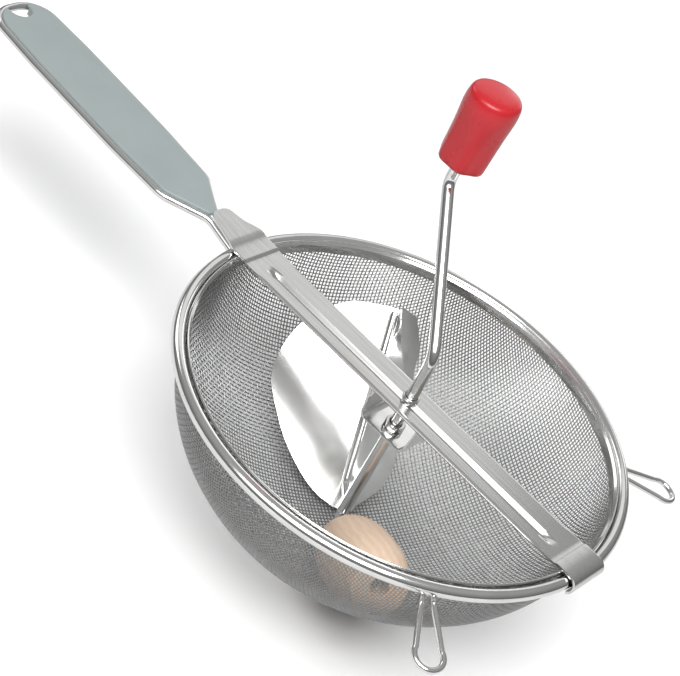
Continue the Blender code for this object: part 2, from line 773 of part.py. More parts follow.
def build_crank(mat, group, tools):
    """The crank: one bent rod from the knob's spindle down to the roller's axle."""
    radius, height = roller_centre()
    foot = height - radius * math.tan(math.radians(ROLLER_ANGLE))
    outer = ROLLER_SHIFT + ROLLER_LENGTH / 2
    end = axle_point(outer - ROLLER_RECESS_DEPTH + CLIP_THICKNESS * 3)
    corners = [
        polar(-CRANK_REACH, CRANK_AZIMUTH, CRANK_TOP_HEIGHT),
        polar(-CRANK_REACH, CRANK_AZIMUTH, CRANK_ELBOW_HEIGHT),
        Vector((0.0, 0.0, CRANK_BEND_HEIGHT)),
        Vector((0.0, 0.0, foot)),
        end,
    ]
    path = fillet_path(corners, (ELBOW_RADIUS, BEND_RADIUS, FOOT_BEND_RADIUS))
    obj = wire("crank_rod", path, ROD_RADIUS, mat, group)
    mesh = bpy.data.meshes.new("pin_hole")
    body = bmesh.new()
    bmesh.ops.create_cone(
        body,
        cap_ends=True,
        segments=SMALL_STEPS // 2,
        radius1=PIN_RADIUS + SEAT_GAP,
        radius2=PIN_RADIUS + SEAT_GAP,
        depth=ROD_RADIUS * 4,
        matrix=Matrix.Rotation(math.pi / 2, 4, "Y"),
    )
    body.to_mesh(mesh)
    body.free()
    hole = add_object("pin_hole", mesh, None, tools)
    hole.matrix_world = Matrix.Translation((0.0, 0.0, pin_height())) @ Matrix.Rotation(
        math.radians(CRANK_AZIMUTH), 4, "Z"
    )
    cutter(hole)
    cut(obj, hole, "pin_hole")
    return obj


def pin_height():
    """Height of the cross pin under the washer."""
    washer_low = STIRRUP_PLATE_HEIGHT - STIRRUP_THICKNESS / 2 - SEAT_GAP - WASHER_THICKNESS
    return washer_low - SEAT_GAP - PIN_RADIUS


def ring(name, inner, outer, low, high, mat, group, round_edge=0.0):
    """A flat ring about the axis between two heights."""
    if round_edge > 0.0:
        section = [
            (outer - round_edge, high),
            (outer, high - round_edge),
            (outer, low + round_edge),
            (outer - round_edge, low),
            (inner, low),
            (inner, high),
        ]
    else:
        section = [(outer, high), (outer, low), (inner, low), (inner, high)]
    return turned(name, section, SMALL_STEPS, mat, group, closed=True)


def build_collar(mat, group):
    """The thrust collar on the rod, on top of the bar."""
    low = BAR_MID_HEIGHT + BAR_THICKNESS / 2 + SEAT_GAP
    inner = ROD_RADIUS + SEAT_GAP
    edge = (COLLAR_RADIUS - inner) / 3
    return ring("thrust_collar", inner, COLLAR_RADIUS, low, low + COLLAR_HEIGHT, mat, group, edge)


def build_bush(mat, group):
    """The bush fixed on the stirrup's plate, in which the rod runs."""
    low = STIRRUP_PLATE_HEIGHT + STIRRUP_THICKNESS / 2 + SEAT_GAP
    inner = ROD_RADIUS + RUNNING_GAP
    return ring("lower_bush", inner, BUSH_RADIUS, low, low + BUSH_HEIGHT, mat, group)


def build_knob_stop(mat, group):
    """The push-on ring under the knob, which keeps it up on the rod."""
    high = KNOB_BASE_HEIGHT - RUNNING_GAP
    obj = ring(
        "knob_stop", ROD_RADIUS + SEAT_GAP, KNOB_STOP_RADIUS, high - KNOB_STOP_HEIGHT, high, mat, group
    )
    obj.location = polar(-CRANK_REACH, CRANK_AZIMUTH, 0.0)
    return obj


def build_washer(mat, group):
    """The washer on the rod, under the stirrup."""
    high = STIRRUP_PLATE_HEIGHT - STIRRUP_THICKNESS / 2 - SEAT_GAP
    low = high - WASHER_THICKNESS
    return ring("shaft_washer", ROD_RADIUS + SEAT_GAP, WASHER_RADIUS, low, high, mat, group)


def build_pin(mat, group):
    """The cross pin that keeps the rod up in its bearings."""
    mesh = bpy.data.meshes.new("shaft_pin")
    body = bmesh.new()
    bmesh.ops.create_cone(
        body,
        cap_ends=True,
        segments=SMALL_STEPS // 2,
        radius1=PIN_RADIUS,
        radius2=PIN_RADIUS,
        depth=PIN_HALF_LENGTH * 2,
        matrix=Matrix.Rotation(math.pi / 2, 4, "Y"),
    )
    body.to_mesh(mesh)
    body.free()
    obj = add_object("shaft_pin", mesh, mat, group)
    obj.matrix_world = Matrix.Translation((0.0, 0.0, pin_height())) @ Matrix.Rotation(
        math.radians(CRANK_AZIMUTH), 4, "Z"
    )
    return obj


# Knob


def build_knob(mat, group):
    """The moulded knob: round at the top, softly six-sided towards its base, bored for the rod."""
    verts = []
    steps = KNOB_SIDES * 6
    for height, radius, flat in zip(KNOB_HEIGHT_SHARES[:-1], KNOB_RADIUS_SHARES, KNOB_FLAT_SHARES):
        for i in range(steps):
            angle = 2 * math.pi * i / steps
            hollow = flat * (0.5 - 0.5 * math.cos(KNOB_SIDES * angle))
            reach = KNOB_RADIUS * radius * (1 - hollow)
            verts.append((reach * math.cos(angle), reach * math.sin(angle), KNOB_LENGTH * height))
    rings = len(KNOB_HEIGHT_SHARES) - 1
    bore = ROD_RADIUS + RUNNING_GAP
    for height in (0.0, KNOB_BORE_DEPTH):
        for i in range(steps):
            angle = 2 * math.pi * i / steps
            verts.append((bore * math.cos(angle), bore * math.sin(angle), height))
    faces = []
    for k in range(rings - 1):
        for i in range(steps):
            j = (i + 1) % steps
            faces.append((k * steps + i, k * steps + j, (k + 1) * steps + j, (k + 1) * steps + i))
    low = rings * steps
    high = low + steps
    for i in range(steps):
        j = (i + 1) % steps
        faces.append((j, i, low + i, low + j))
        faces.append((low + j, low + i, high + i, high + j))
    faces.append(tuple(high + i for i in reversed(range(steps))))
    top = len(verts)
    verts.append((0.0, 0.0, KNOB_LENGTH))
    last = (rings - 1) * steps
    for i in range(steps):
        faces.append((last + i, last + (i + 1) % steps, top))
    obj = mesh_object("knob", verts, faces, mat, group)
    shade_round(obj)
    obj.location = polar(-CRANK_REACH, CRANK_AZIMUTH, KNOB_BASE_HEIGHT)
    return obj


# Roller


def roller_matrix():
    """Places a piece turned about Z on the roller's axle."""
    along = axle_direction()
    side = polar(1.0, CRANK_FOOT_AZIMUTH + 90.0, 0.0)
    other = along.cross(side)
    turn = Matrix((side, other, along)).transposed().to_4x4()
    return Matrix.Translation(axle_point(0.0)) @ turn


def roller_radius(place):
    """The barrel's radius at a distance along the axle from where it is widest."""
    bulge = 1 - (abs(place) / ROLLER_SWELL_HALF_LENGTH) ** ROLLER_SWELL_POWER
    return ROLLER_END_RADIUS + (ROLLER_RADIUS - ROLLER_END_RADIUS) * bulge


def build_roller(mat, group):
    """The wooden roller: a barrel with flat ends, a bore and a recess at its outer end."""
    outer = ROLLER_SHIFT + ROLLER_LENGTH / 2
    inner = ROLLER_SHIFT - ROLLER_LENGTH / 2
    floor = outer - ROLLER_RECESS_DEPTH
    bore = ROD_RADIUS + RUNNING_GAP
    steps = 14
    skin = []
    for i in range(steps + 1):
        place = outer - ROLLER_EDGE_ROUND - (ROLLER_LENGTH - ROLLER_EDGE_ROUND * 2) * i / steps
        skin.append((roller_radius(place), place))
    profile = [(ROLLER_RECESS_RADIUS, outer), (skin[0][0] - ROLLER_EDGE_ROUND, outer)]
    profile += skin
    profile += [
        (skin[-1][0] - ROLLER_EDGE_ROUND, inner),
        (bore, inner),
        (bore, floor),
        (ROLLER_RECESS_RADIUS, floor),
    ]
    obj = turned("roller", profile, ROUND_STEPS, mat, group, closed=True)
    obj.matrix_world = roller_matrix()
    return obj


def build_clip(mat, group):
    """The push-on clip that keeps the roller on its axle, down in the recess."""
    floor = ROLLER_SHIFT + ROLLER_LENGTH / 2 - ROLLER_RECESS_DEPTH + SEAT_GAP
    obj = ring(
        "roller_clip", ROD_RADIUS + SEAT_GAP, CLIP_RADIUS, floor, floor + CLIP_THICKNESS, mat, group
    )
    obj.matrix_world = roller_matrix()
    return obj


def build_stop(mat, group):
    """The stop washer on the rod at the roller's inner end."""
    high = ROLLER_SHIFT - ROLLER_LENGTH / 2 - SEAT_GAP
    obj = ring(
        "roller_stop", ROD_RADIUS + SEAT_GAP, STOP_RADIUS, high - STOP_THICKNESS, high, mat, group
    )
    obj.matrix_world = roller_matrix()
    return obj


# Blade


def blade_point(along, across, out):
    """A point in the blade's frame: along its fold, across it and out towards the wall."""
    slope = math.radians(BLADE_SLOPE)
    turn = math.radians(BLADE_TURN)
    rise = polar(math.cos(slope), BLADE_AZIMUTH, math.sin(slope))
    outward = polar(math.sin(slope), BLADE_AZIMUTH, -math.cos(slope))
    side = polar(1.0, BLADE_AZIMUTH - 90.0, 0.0)
    fold = rise * math.cos(turn) - side * math.sin(turn)
    cross = rise * math.sin(turn) + side * math.cos(turn)
    return fold * along + cross * across - side * BLADE_OFFSET + outward * (BLADE_DEPTH + out)


def reach_to_wall(along, start, direction):
    """How far a wing runs from a place on its fold until it meets the wall's clearance."""
    near = 0.0
    far = RIM_DIAMETER
    for _ in range(40):
        middle = (near + far) / 2
        across = start[0] + direction[0] * middle
        out = start[1] + direction[1] * middle
        if wall_clearance(blade_point(along, across, out)) > BLADE_WALL_GAP:
            near = middle
        else:
            far = middle
    return near


def fold_end(sign):
    """How far the blade's fold runs in one direction before it meets the wall's clearance."""
    near = 0.0
    far = RIM_DIAMETER
    for _ in range(40):
        middle = (near + far) / 2
        if wall_clearance(blade_point(sign * middle, 0.0, 0.0)) > BLADE_WALL_GAP:
            near = middle
        else:
            far = middle
    return sign * near


def build_blade(mat, group):
    """The folded blade: a large wing, a flat hem, a lens-shaped facet and a smaller leaf.

    Each row runs across the blade from the wing's edge to the leaf's edge, and both edges
    stop clear of the bowl's wall.
    """
    low = fold_end(-1.0) + BLADE_END_TRIM
    high = fold_end(1.0) - BLADE_END_TRIM
    lean = math.radians(BLADE_LEAF_ANGLE)
    leaf = (math.cos(lean), math.sin(lean))
    rows = []
    for place, wing_share, fold_share, leaf_share in zip(
        BLADE_PLACE_SHARES, BLADE_WING_SHARES, BLADE_FOLD_SHARES, BLADE_LEAF_SHARES
    ):
        along = low + (high - low) * place
        wing = min(BLADE_WING_WIDTH * wing_share, reach_to_wall(along, (0.0, 0.0), (-1.0, 0.0)))
        fold = BLADE_FOLD_REACH * fold_share
        fold_out = (fold - BLADE_LEAF_START) * math.tan(lean)
        width = max(BLADE_HEM_WIDTH / 4, BLADE_LEAF_REACH * leaf_share - fold) / leaf[0]
        width = min(width, reach_to_wall(along, (fold, fold_out), leaf))
        rows.append(
            [
                blade_point(along, -wing, 0.0),
                blade_point(along, -wing / 2, 0.0),
                blade_point(along, 0.0, 0.0),
                blade_point(along, BLADE_HEM_WIDTH, 0.0),
                blade_point(along, fold, fold_out),
                blade_point(along, fold + leaf[0] * width, fold_out + leaf[1] * width),
            ]
        )
    return strip("blade", rows, BLADE_THICKNESS, mat, group)


def build_spine(mat, group):
    """The rod along the blade's hem that carries the blade and is welded to the crank's foot."""
    over = -(BLADE_THICKNESS / 2 + SEAT_GAP + SPINE_RADIUS)
    middle = BLADE_HEM_WIDTH / 2
    corner = blade_point(-SPINE_CORNER, middle, over)
    azimuth = math.degrees(math.atan2(corner[1], corner[0]))
    corners = [
        blade_point(fold_end(1.0) - BLADE_END_TRIM * 2, middle, over),
        corner,
        polar(ROD_RADIUS + SPINE_RADIUS + SEAT_GAP, azimuth, SPINE_FOOT_HEIGHT),
    ]
    return wire("blade_spine", fillet_path(corners, (SPINE_BEND_RADIUS,)), SPINE_RADIUS, mat, group)


def main():
    for obj in list(bpy.data.objects):
        bpy.data.objects.remove(obj)

    group = collection("food_mill")
    tools = collection("cutters")

    steel = material("polished_steel", (0.66, 0.66, 0.65), 0.18, 1.0)
    cloth = material("wire_cloth", (0.46, 0.46, 0.46), 0.38, 1.0)
    sheet = material("pressed_steel", (0.56, 0.56, 0.55), 0.28, 1.0)
    mirror = material("blade_steel", (0.80, 0.80, 0.79), 0.10, 1.0)
    grip = material("grey_green_grip", (0.36, 0.42, 0.42), 0.42, 0.0)
    red = material("red_knob", (0.57, 0.035, 0.045), 0.26, 0.0)
    beech = material("beech", (0.66, 0.49, 0.36), 0.58, 0.0)

    build_bowl(cloth, group)
    build_rim_bead(steel, group)
    build_rim_lip(sheet, group)
    build_handle_wire(steel, group)
    build_grip(grip, group)
    build_loop("rest_loop_front", LOOP_FRONT_AZIMUTH, steel, group)
    build_loop("rest_loop_rear", LOOP_REAR_AZIMUTH, steel, group)

    bridge = [
        build_crossbar(sheet, group, tools),
        build_stirrup(mirror, group, tools),
        build_bush(steel, group),
    ]
    pivot("bridge_hinge", (BEAD_CENTRE, 0.0, 0.0), bridge, group)

    crank = [
        build_crank(steel, group, tools),
        build_collar(steel, group),
        build_washer(steel, group),
        build_pin(steel, group),
        build_knob_stop(steel, group),
        build_clip(steel, group),
        build_stop(steel, group),
        build_blade(mirror, group),
        build_spine(steel, group),
    ]
    pivot("crank_axis", (0.0, 0.0, 0.0), crank, group)

    build_knob(red, group)
    build_roller(beech, group)


main()
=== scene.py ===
"""Looks of the food mill: detailed pieces, materials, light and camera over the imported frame.

Lengths are in metres and angles in radians, in the frame of the solids: the origin is on the
crank's upright axis in the middle plane of the rim, +Z is up, the handle points along -X and the
hook is at +X.
"""

import math

import bpy
from mathutils import Matrix, Vector


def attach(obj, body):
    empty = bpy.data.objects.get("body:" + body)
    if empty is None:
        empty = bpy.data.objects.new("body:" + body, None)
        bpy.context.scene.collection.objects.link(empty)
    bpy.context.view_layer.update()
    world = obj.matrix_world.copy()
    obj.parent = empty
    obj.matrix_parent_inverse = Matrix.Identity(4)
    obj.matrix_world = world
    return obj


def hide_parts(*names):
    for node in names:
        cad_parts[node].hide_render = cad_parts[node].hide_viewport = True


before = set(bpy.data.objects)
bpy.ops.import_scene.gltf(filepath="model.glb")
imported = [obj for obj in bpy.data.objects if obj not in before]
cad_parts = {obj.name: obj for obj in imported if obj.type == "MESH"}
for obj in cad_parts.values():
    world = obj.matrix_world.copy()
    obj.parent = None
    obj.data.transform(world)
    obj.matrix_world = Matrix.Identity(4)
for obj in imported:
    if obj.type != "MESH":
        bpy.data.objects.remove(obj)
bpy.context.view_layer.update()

# Rim and bowl
RIM_RADIUS = 0.1200
BEAD_RADIUS = 0.0033
SEAT_GAP = 0.0003
WALL = 0.0008
LIP_THICKNESS = 0.0008
LIP_TOP = 0.0035
LIP_BOTTOM = 0.0038
LIP_FLARE = 0.0011
LIP_FLARE_LOW = 0.0012
LIP_FLARE_HIGH = 0.0021
BOWL_DEPTH = 0.0960
BOWL_CROWN = 0.0089
BOWL_JOIN = math.radians(53.4)
STRAIGHT_BELOW = 0.0030
STRAIGHT_ABOVE = 0.0008

# Woven cloth
CLOTH_INSET = 0.00062
WEAVE_PITCH = 0.00195
WEAVE_RADIUS = 0.00033
WEAVE_TURN = math.radians(60.0)
WEAVE_LIFT_SHARE = 0.68
WEAVE_SHORTEST_SHARE = 0.2
NET_STEP_SHARE = 0.001
NET_ROUNDS = 6

# Handle and grip
HANDLE_WIRE_RADIUS = 0.0021
HANDLE_SLOPE = math.radians(2.9)
HANDLE_ROOT_DROP = 0.0011
HANDLE_LENGTH = 0.1866
NECK_OVERLAP = 0.0021
NECK_HALF_WIDTH = 0.0030
NECK_DROP = 0.0043
NECK_LENGTH = 0.0215
SHOULDER_END = 0.0440
GRIP_HALF_WIDTH = 0.0171
GRIP_WIDE_START = 0.0820
GRIP_WIDE_END = 0.1460
GRIP_WIDE_HALF_WIDTH = 0.0189
GRIP_TIP_HALF_WIDTH = 0.0170
NECK_BEND_RADIUS = 0.0120
SHOULDER_BEND_RADIUS = 0.0140
GRIP_SIDE_BEND_RADIUS = 0.1500
TIP_BEND_RADIUS = 0.0150
GRIP_BODY_START = 0.0300
GRIP_BODY_LOW = -0.0028
GRIP_BODY_HIGH = 0.0026
GRIP_BODY_EDGE = 0.0010
GRIP_COVER_START = 0.0232
GRIP_COVER_SET_IN = 0.0008
GRIP_COVER_LOW = 0.0009
GRIP_COVER_HIGH = 0.0034
GRIP_COVER_EDGE = 0.0011
GRIP_NOSE_LENGTH = 0.0012
GRIP_NOSE_WIDTH_SHARE = 0.55
HANG_NOTCH_SET_BACK = 0.0040
HANG_NOTCH_RADIUS = 0.0070
HANG_NOTCH_CLEAR_RADIUS = 0.0078
HANG_NOTCH_TURN_SHARE = 0.94

# Rest loops
LOOP_AZIMUTHS = (("front", math.radians(-43.0)), ("rear", math.radians(46.5)))
LOOP_WIRE_RADIUS = 0.0015
LOOP_SLOPE = math.radians(10.4)
LOOP_SEAT = math.radians(75.0)
LOOP_LENGTH = 0.0370
LOOP_EYE_RADIUS = 0.0070
LOOP_EYE_HALF_ANGLE = math.radians(118.0)
LOOP_LEG_HALF_GAP = 0.0026

# Crossbar
BAR_HALF_WIDTH = 0.0127
BAR_HEIGHT = 0.0034
BAR_THICKNESS = 0.0012
BAR_EDGE_EASE = 0.00025
BAR_EDGE_WIDTH = 0.0012
BAR_EDGE_DROP = 0.0006
BAR_FLAT_HALF_LENGTH = 0.1040
BAR_STEP_FOOT = 0.1060
BAR_STEP_TOP_BY_HANDLE = 0.1082
BAR_STEP_TOP_BY_HOOK = 0.1086
BAR_STEP_CREST = 0.1090
BAR_STEP_CREST_DROP = 0.0001
OVER_RIM = 0.0044
OVER_RIM_START = 0.1100
OVER_RIM_END = 0.1143
GROOVE_HALF_LENGTH = 0.0985
GROOVE_RUN_OUT = 0.0070
GROOVE_OFFSET = 0.0026
GROOVE_HALF_WIDTH = 0.0033
GROOVE_FLOOR_HALF_WIDTH = 0.0013
GROOVE_DEPTH = 0.0022
HOOK_CENTRE = 0.1170
HOOK_TIP_ANGLE = math.radians(-62.0)
TAB_ROOT = 0.1175
TAB_ROOT_HEIGHT = 0.0050
TAB_BEND_HEIGHT = 0.0059
TAB_LENGTH = 0.0192
TAB_RISE = 0.0020
TAB_SIDE_SHIFT = 0.0022
TAB_ROW_POWER = 1.6
BAR_BORE_SPAN = (-0.0050, 0.0100)

# Stirrup under the bar
STIRRUP_HALF_LENGTH = 0.0142
STIRRUP_TOP_HALF_LENGTH = 0.0158
STIRRUP_PLATE_HEIGHT = -0.0158
STIRRUP_THICKNESS = 0.0012
STIRRUP_HALF_WIDTH = 0.0106
STIRRUP_BEND_RADIUS = 0.0040
STIRRUP_EDGE_EASE = 0.0003
STIRRUP_BORE_SPAN = (-0.0190, -0.0120)
STIRRUP_NOTCH_LENGTH = 0.0500
STIRRUP_NOTCH_DEPTH = 0.0042
STIRRUP_NOTCH_MIDDLE = 0.0028
BUSH_RADIUS = 0.0052
BUSH_HEIGHT = 0.0030

# Crank
ROD_RADIUS = 0.0031
RUNNING_GAP = 0.0003
ARM_AZIMUTH = math.radians(-38.5)
FOOT_AZIMUTH = math.radians(-44.6)
CRANK_REACH = 0.0750
CRANK_ELBOW_HEIGHT = 0.0802
CRANK_BEND_HEIGHT = 0.0317
ELBOW_RADIUS = 0.0080
BEND_RADIUS = 0.0140
FOOT_BEND_RADIUS = 0.0090
ROD_FOOT_STAND = 0.0024
RING_EDGE_EASE = 0.0003
COLLAR_RADIUS = 0.0043
COLLAR_HEIGHT = 0.0022
COLLAR_EDGE_EASE = 0.0004
WASHER_RADIUS = 0.0062
WASHER_THICKNESS = 0.0012
PIN_RADIUS = 0.0010
PIN_HALF_LENGTH = 0.0068

# Knob
KNOB_BASE_HEIGHT = 0.0935
KNOB_LENGTH = 0.0430
KNOB_RADIUS = 0.0143
KNOB_BORE_DEPTH = 0.0345
KNOB_TOP_GAP = 0.0010
KNOB_SIDES = 6
KNOB_STOP_RADIUS = 0.0052
KNOB_STOP_HEIGHT = 0.0016

# Roller
ROLLER_ANGLE = math.radians(30.1)
ROLLER_RADIUS = 0.01967
ROLLER_END_RADIUS = 0.01375
ROLLER_HALF_LENGTH = 0.0300
ROLLER_SHIFT = 0.0043
ROLLER_SWELL_HALF_LENGTH = 0.0343
ROLLER_SWELL_POWER = 2.8
ROLLER_WALL_GAP = 0.00075
ROLLER_EDGE_ROUND = 0.0010
ROLLER_EDGE_TURN = 1.2
ROLLER_RECESS_RADIUS = 0.0046
ROLLER_RECESS_DEPTH = 0.0090
ROLLER_RECESS_EASE = 0.0003
CLIP_RADIUS = 0.0042
CLIP_THICKNESS = 0.0008
CLIP_EDGE_EASE = 0.0002
STOP_RADIUS = 0.0058
STOP_THICKNESS = 0.0012
GRAIN_SHIFT = Vector((0.031, 0.017, 0.0))

# Blade
BLADE_AZIMUTH = math.radians(120.7)
BLADE_SLOPE = math.radians(37.0)
BLADE_TURN = math.radians(7.2)
BLADE_LIFT = 0.0130
BLADE_OFFSET = 0.0076
BLADE_THICKNESS = 0.0009
BLADE_WALL_GAP = 0.0009
BLADE_HEM_WIDTH = 0.0042
BLADE_END_TRIM = 0.0028
BLADE_WING_WIDTH = 0.0524
BLADE_WING_LEAST = 0.0010
BLADE_FOLD_REACH = 0.0200
BLADE_LEAF_START = 0.0122
BLADE_LEAF_ANGLE = math.radians(42.3)
BLADE_LEAF_REACH = 0.0264
SPINE_RADIUS = 0.0018
SPINE_BEND_RADIUS = 0.0060
SPINE_CORNER = 0.0300
SPINE_FOOT_HEIGHT = -0.0750

# Steps and angles of the tools
MERGE_DISTANCE = 0.000002
REACH_ROUNDS = 30
TOOL_STEPS = 48
RIM_STEPS = 192
TURNED_STEPS = 96
RING_STEPS = 64
BEAD_ARC_STEPS = 28
LIP_ARC_STEPS = 6
NOTCH_ARC_STEPS = 20
LOOP_ARC_STEPS = 40
HOOK_STEPS = 24
TAB_STEPS = 24
BAR_STEP_ROWS = 4
BAR_FLAT_STEPS = 96
BAR_CROSS_STEPS = 44
STIRRUP_CROSS_STEPS = 16
ROLLER_STEPS = 48
ROLLER_EDGE_STEPS = 3
BLADE_STEPS = 120
WING_STEPS = 12
FOLD_STEPS = 4
TURNED_EDGE_ANGLE = math.radians(50.0)
SHEET_EDGE_ANGLE = math.radians(60.0)

# Finish, floor and camera
BUMP_DISTANCE = 0.0002
BEECH_WARM = (0.66, 0.49, 0.36)
BEECH_PALE = (0.72, 0.56, 0.43)
BEECH_FLECK = (0.56, 0.39, 0.27)
BEECH_FLECK_RANGE = (-0.25, 0.65)
FLOOR_SIZE = 2.8
FLOOR_HEIGHT = -0.0963
FLOOR_BOUNCE = (0.72, 0.72, 0.72)
WORLD_BRIGHT_FROM = 0.9
WORLD_STRENGTHS = (0.14, 0.42)
WHITE = (1.0, 1.0, 1.0)
CAMERA_PLACE = (0.28515, -0.73861, 0.59537)
CAMERA_RIGHT = Vector((0.67785, 0.62147, 0.39281))
CAMERA_DOWN = Vector((0.65628, -0.27065, -0.70431))
CAMERA_AHEAD = Vector((-0.3314, 0.7352, -0.59131))
CAMERA_LENS = 108.92
CAMERA_SENSOR = 36.0
CAMERA_CLIP = 0.05

# Name, place, size and power of each lamp
LAMPS = (
    ("key", (0.42, -0.71, 1.48), 1.1, 31.0),
    ("front", (-0.10, -0.85, 1.00), 0.8, 4.0),
    ("back", (-0.80, 1.13, 0.70), 1.0, 1.9),
    ("low", (-0.25, 1.50, 0.33), 0.7, 1.9),
    ("side", (-1.4, 0.3, 0.8), 0.6, 2.0),
)

# Thumb tab: places along its length, its width there and how far it stands to one side
TAB_REACH_SHARES = (0.0, 0.20, 0.45, 0.70, 0.87, 0.96, 1.0)
TAB_WIDTH_SHARES = (0.97, 0.85, 0.68, 0.59, 0.50, 0.36, 0.16)
TAB_SHIFT_SHARES = (0.0, 0.35, 0.85, 1.0, 1.0, 1.0, 1.0)

# Knob: rings from its base to its top, with their radii and the depth of the flats
KNOB_HEIGHT_SHARES = (
    0.0, 0.022, 0.10, 0.26, 0.42, 0.56, 0.66, 0.74, 0.82, 0.895, 0.945, 0.972, 0.990, 1.0,
)
KNOB_RADIUS_SHARES = (
    0.82, 0.90, 0.91, 0.925, 0.94, 0.955, 0.97, 0.980, 0.975, 0.955, 0.915, 0.84, 0.55, 0.0,
)
KNOB_FLAT_SHARES = (
    0.085, 0.085, 0.08, 0.07, 0.055, 0.036, 0.018, 0.006, 0.0, 0.0, 0.0, 0.0, 0.0, 0.0,
)

# Blade: places along its fold, with the widths of the wing, the fold and the leaf there
BLADE_PLACE_SHARES = (
    0.0, 0.03, 0.07, 0.13, 0.21, 0.28, 0.34, 0.40, 0.47,
    0.54, 0.63, 0.73, 0.81, 0.88, 0.94, 0.97, 0.99, 1.0,
)
BLADE_WING_SHARES = (
    0.03, 0.18, 0.315, 0.46, 0.615, 0.725, 0.80, 0.875, 0.945,
    0.98, 1.0, 0.955, 0.845, 0.735, 0.59, 0.41, 0.17, 0.02,
)
BLADE_FOLD_SHARES = (
    0.40, 0.415, 0.46, 0.54, 0.68, 0.80, 0.88, 0.95, 1.0,
    0.99, 0.92, 0.77, 0.60, 0.43, 0.32, 0.28, 0.26, 0.25,
)
BLADE_LEAF_SHARES = (
    0.33, 0.38, 0.52, 0.73, 0.94, 1.0, 0.99, 0.965, 0.95,
    0.92, 0.89, 0.86, 0.845, 0.85, 0.80, 0.735, 0.67, 0.58,
)

BEAD_CENTRE = RIM_RADIUS - BEAD_RADIUS
CLOTH_RIM = BEAD_CENTRE - BEAD_RADIUS - SEAT_GAP
LIP_OUTER = CLOTH_RIM - WALL - SEAT_GAP
BOWL_LOW_RADIUS = CLOTH_RIM + BOWL_CROWN
BOWL_LOW_CENTRE = BOWL_LOW_RADIUS - BOWL_DEPTH
ROD_BORE = ROD_RADIUS + RUNNING_GAP
CRANK_TOP_HEIGHT = KNOB_BASE_HEIGHT + KNOB_BORE_DEPTH - KNOB_TOP_GAP
ROLLER_OUTER = ROLLER_SHIFT + ROLLER_HALF_LENGTH
ROLLER_INNER = ROLLER_SHIFT - ROLLER_HALF_LENGTH
ROLLER_RECESS_FLOOR = ROLLER_OUTER - ROLLER_RECESS_DEPTH
BLADE_DISTANCE = BOWL_DEPTH - BLADE_LIFT


# Helpers for modelling

def deselect():
    """Object mode with nothing selected."""
    if bpy.context.object and bpy.context.object.mode != "OBJECT":
        bpy.ops.object.mode_set(mode="OBJECT")
    bpy.ops.object.select_all(action="DESELECT")


def activate(obj):
    """Makes one object the only selected and the active one."""
    deselect()
    obj.select_set(True)
    bpy.context.view_layer.objects.active = obj


def convert(obj):
    """Turns a curve into a mesh."""
    activate(obj)
    bpy.ops.object.convert(target="MESH")
    return bpy.context.object


def apply_modifiers(obj):
    """Applies all modifiers of an object."""
    activate(obj)
    for modifier in list(obj.modifiers):
        bpy.ops.object.modifier_apply(modifier=modifier.name)


def tidy(obj, smooth=35.0):
    """Merges doubles, turns faces outwards and smooths all edges blunter than an angle in degrees."""
    activate(obj)
    bpy.ops.object.transform_apply(location=True, rotation=True, scale=True)
    bpy.ops.object.mode_set(mode="EDIT")
    bpy.ops.mesh.select_all(action="SELECT")
    bpy.ops.mesh.remove_doubles(threshold=MERGE_DISTANCE)
    bpy.ops.mesh.normals_make_consistent(inside=False)
    bpy.ops.object.mode_set(mode="OBJECT")
    bpy.ops.object.shade_smooth_by_angle(angle=math.radians(smooth))
    deselect()
    return obj


def dress(obj, body, mat, node):
    """Gives a piece its material and slot, the body it rides on and the solid it stands for."""
    obj.data.materials.clear()
    obj.data.materials.append(mat)
    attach(obj, body)
    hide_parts(node)


def mesh_object(name, verts, faces):
    """A mesh object from its points and faces."""
    mesh = bpy.data.meshes.new(name)
    mesh.from_pydata(verts, [], faces)
    obj = bpy.data.objects.new(name, mesh)
    bpy.context.scene.collection.objects.link(obj)
    return obj


def curve_object(name, paths, cyclic=False):
    """A curve object with one poly spline for each path."""
    curve = bpy.data.curves.new(name, "CURVE")
    curve.dimensions = "3D"
    for path in paths:
        spline = curve.splines.new("POLY")
        spline.points.add(len(path) - 1)
        for point, place in zip(spline.points, path):
            point.co = (place[0], place[1], place[2], 1.0)
        spline.use_cyclic_u = cyclic
    obj = bpy.data.objects.new(name, curve)
    bpy.context.scene.collection.objects.link(obj)
    return obj


def tube(name, paths, radius, roundness, smooth=60.0):
    """Round wire along one or more paths, turned into a mesh."""
    obj = curve_object(name, paths)
    obj.data.bevel_depth = radius
    obj.data.bevel_resolution = roundness
    obj.data.use_fill_caps = True
    return tidy(convert(obj), smooth)


def ease_edges(obj, width, segments, angle):
    """Adds a bevel to the edges that are sharper than an angle."""
    edge = obj.modifiers.new("edge", "BEVEL")
    edge.width = width
    edge.segments = segments
    edge.angle_limit = angle


def lathe(name, profile, steps=TURNED_STEPS, place=None, smooth=35.0, bevel=0.0):
    """A turned piece from the closed outline of its (radius, height) points, then set in place."""
    obj = convert(curve_object(name, [[(radius, 0.0, height) for radius, height in profile]], True))
    screw = obj.modifiers.new("turn", "SCREW")
    screw.steps = steps
    screw.render_steps = steps
    screw.use_merge_vertices = True
    screw.merge_threshold = MERGE_DISTANCE
    if bevel:
        ease_edges(obj, bevel, segments=3, angle=TURNED_EDGE_ANGLE)
    apply_modifiers(obj)
    if place is not None:
        obj.matrix_world = place
    return tidy(obj, smooth)


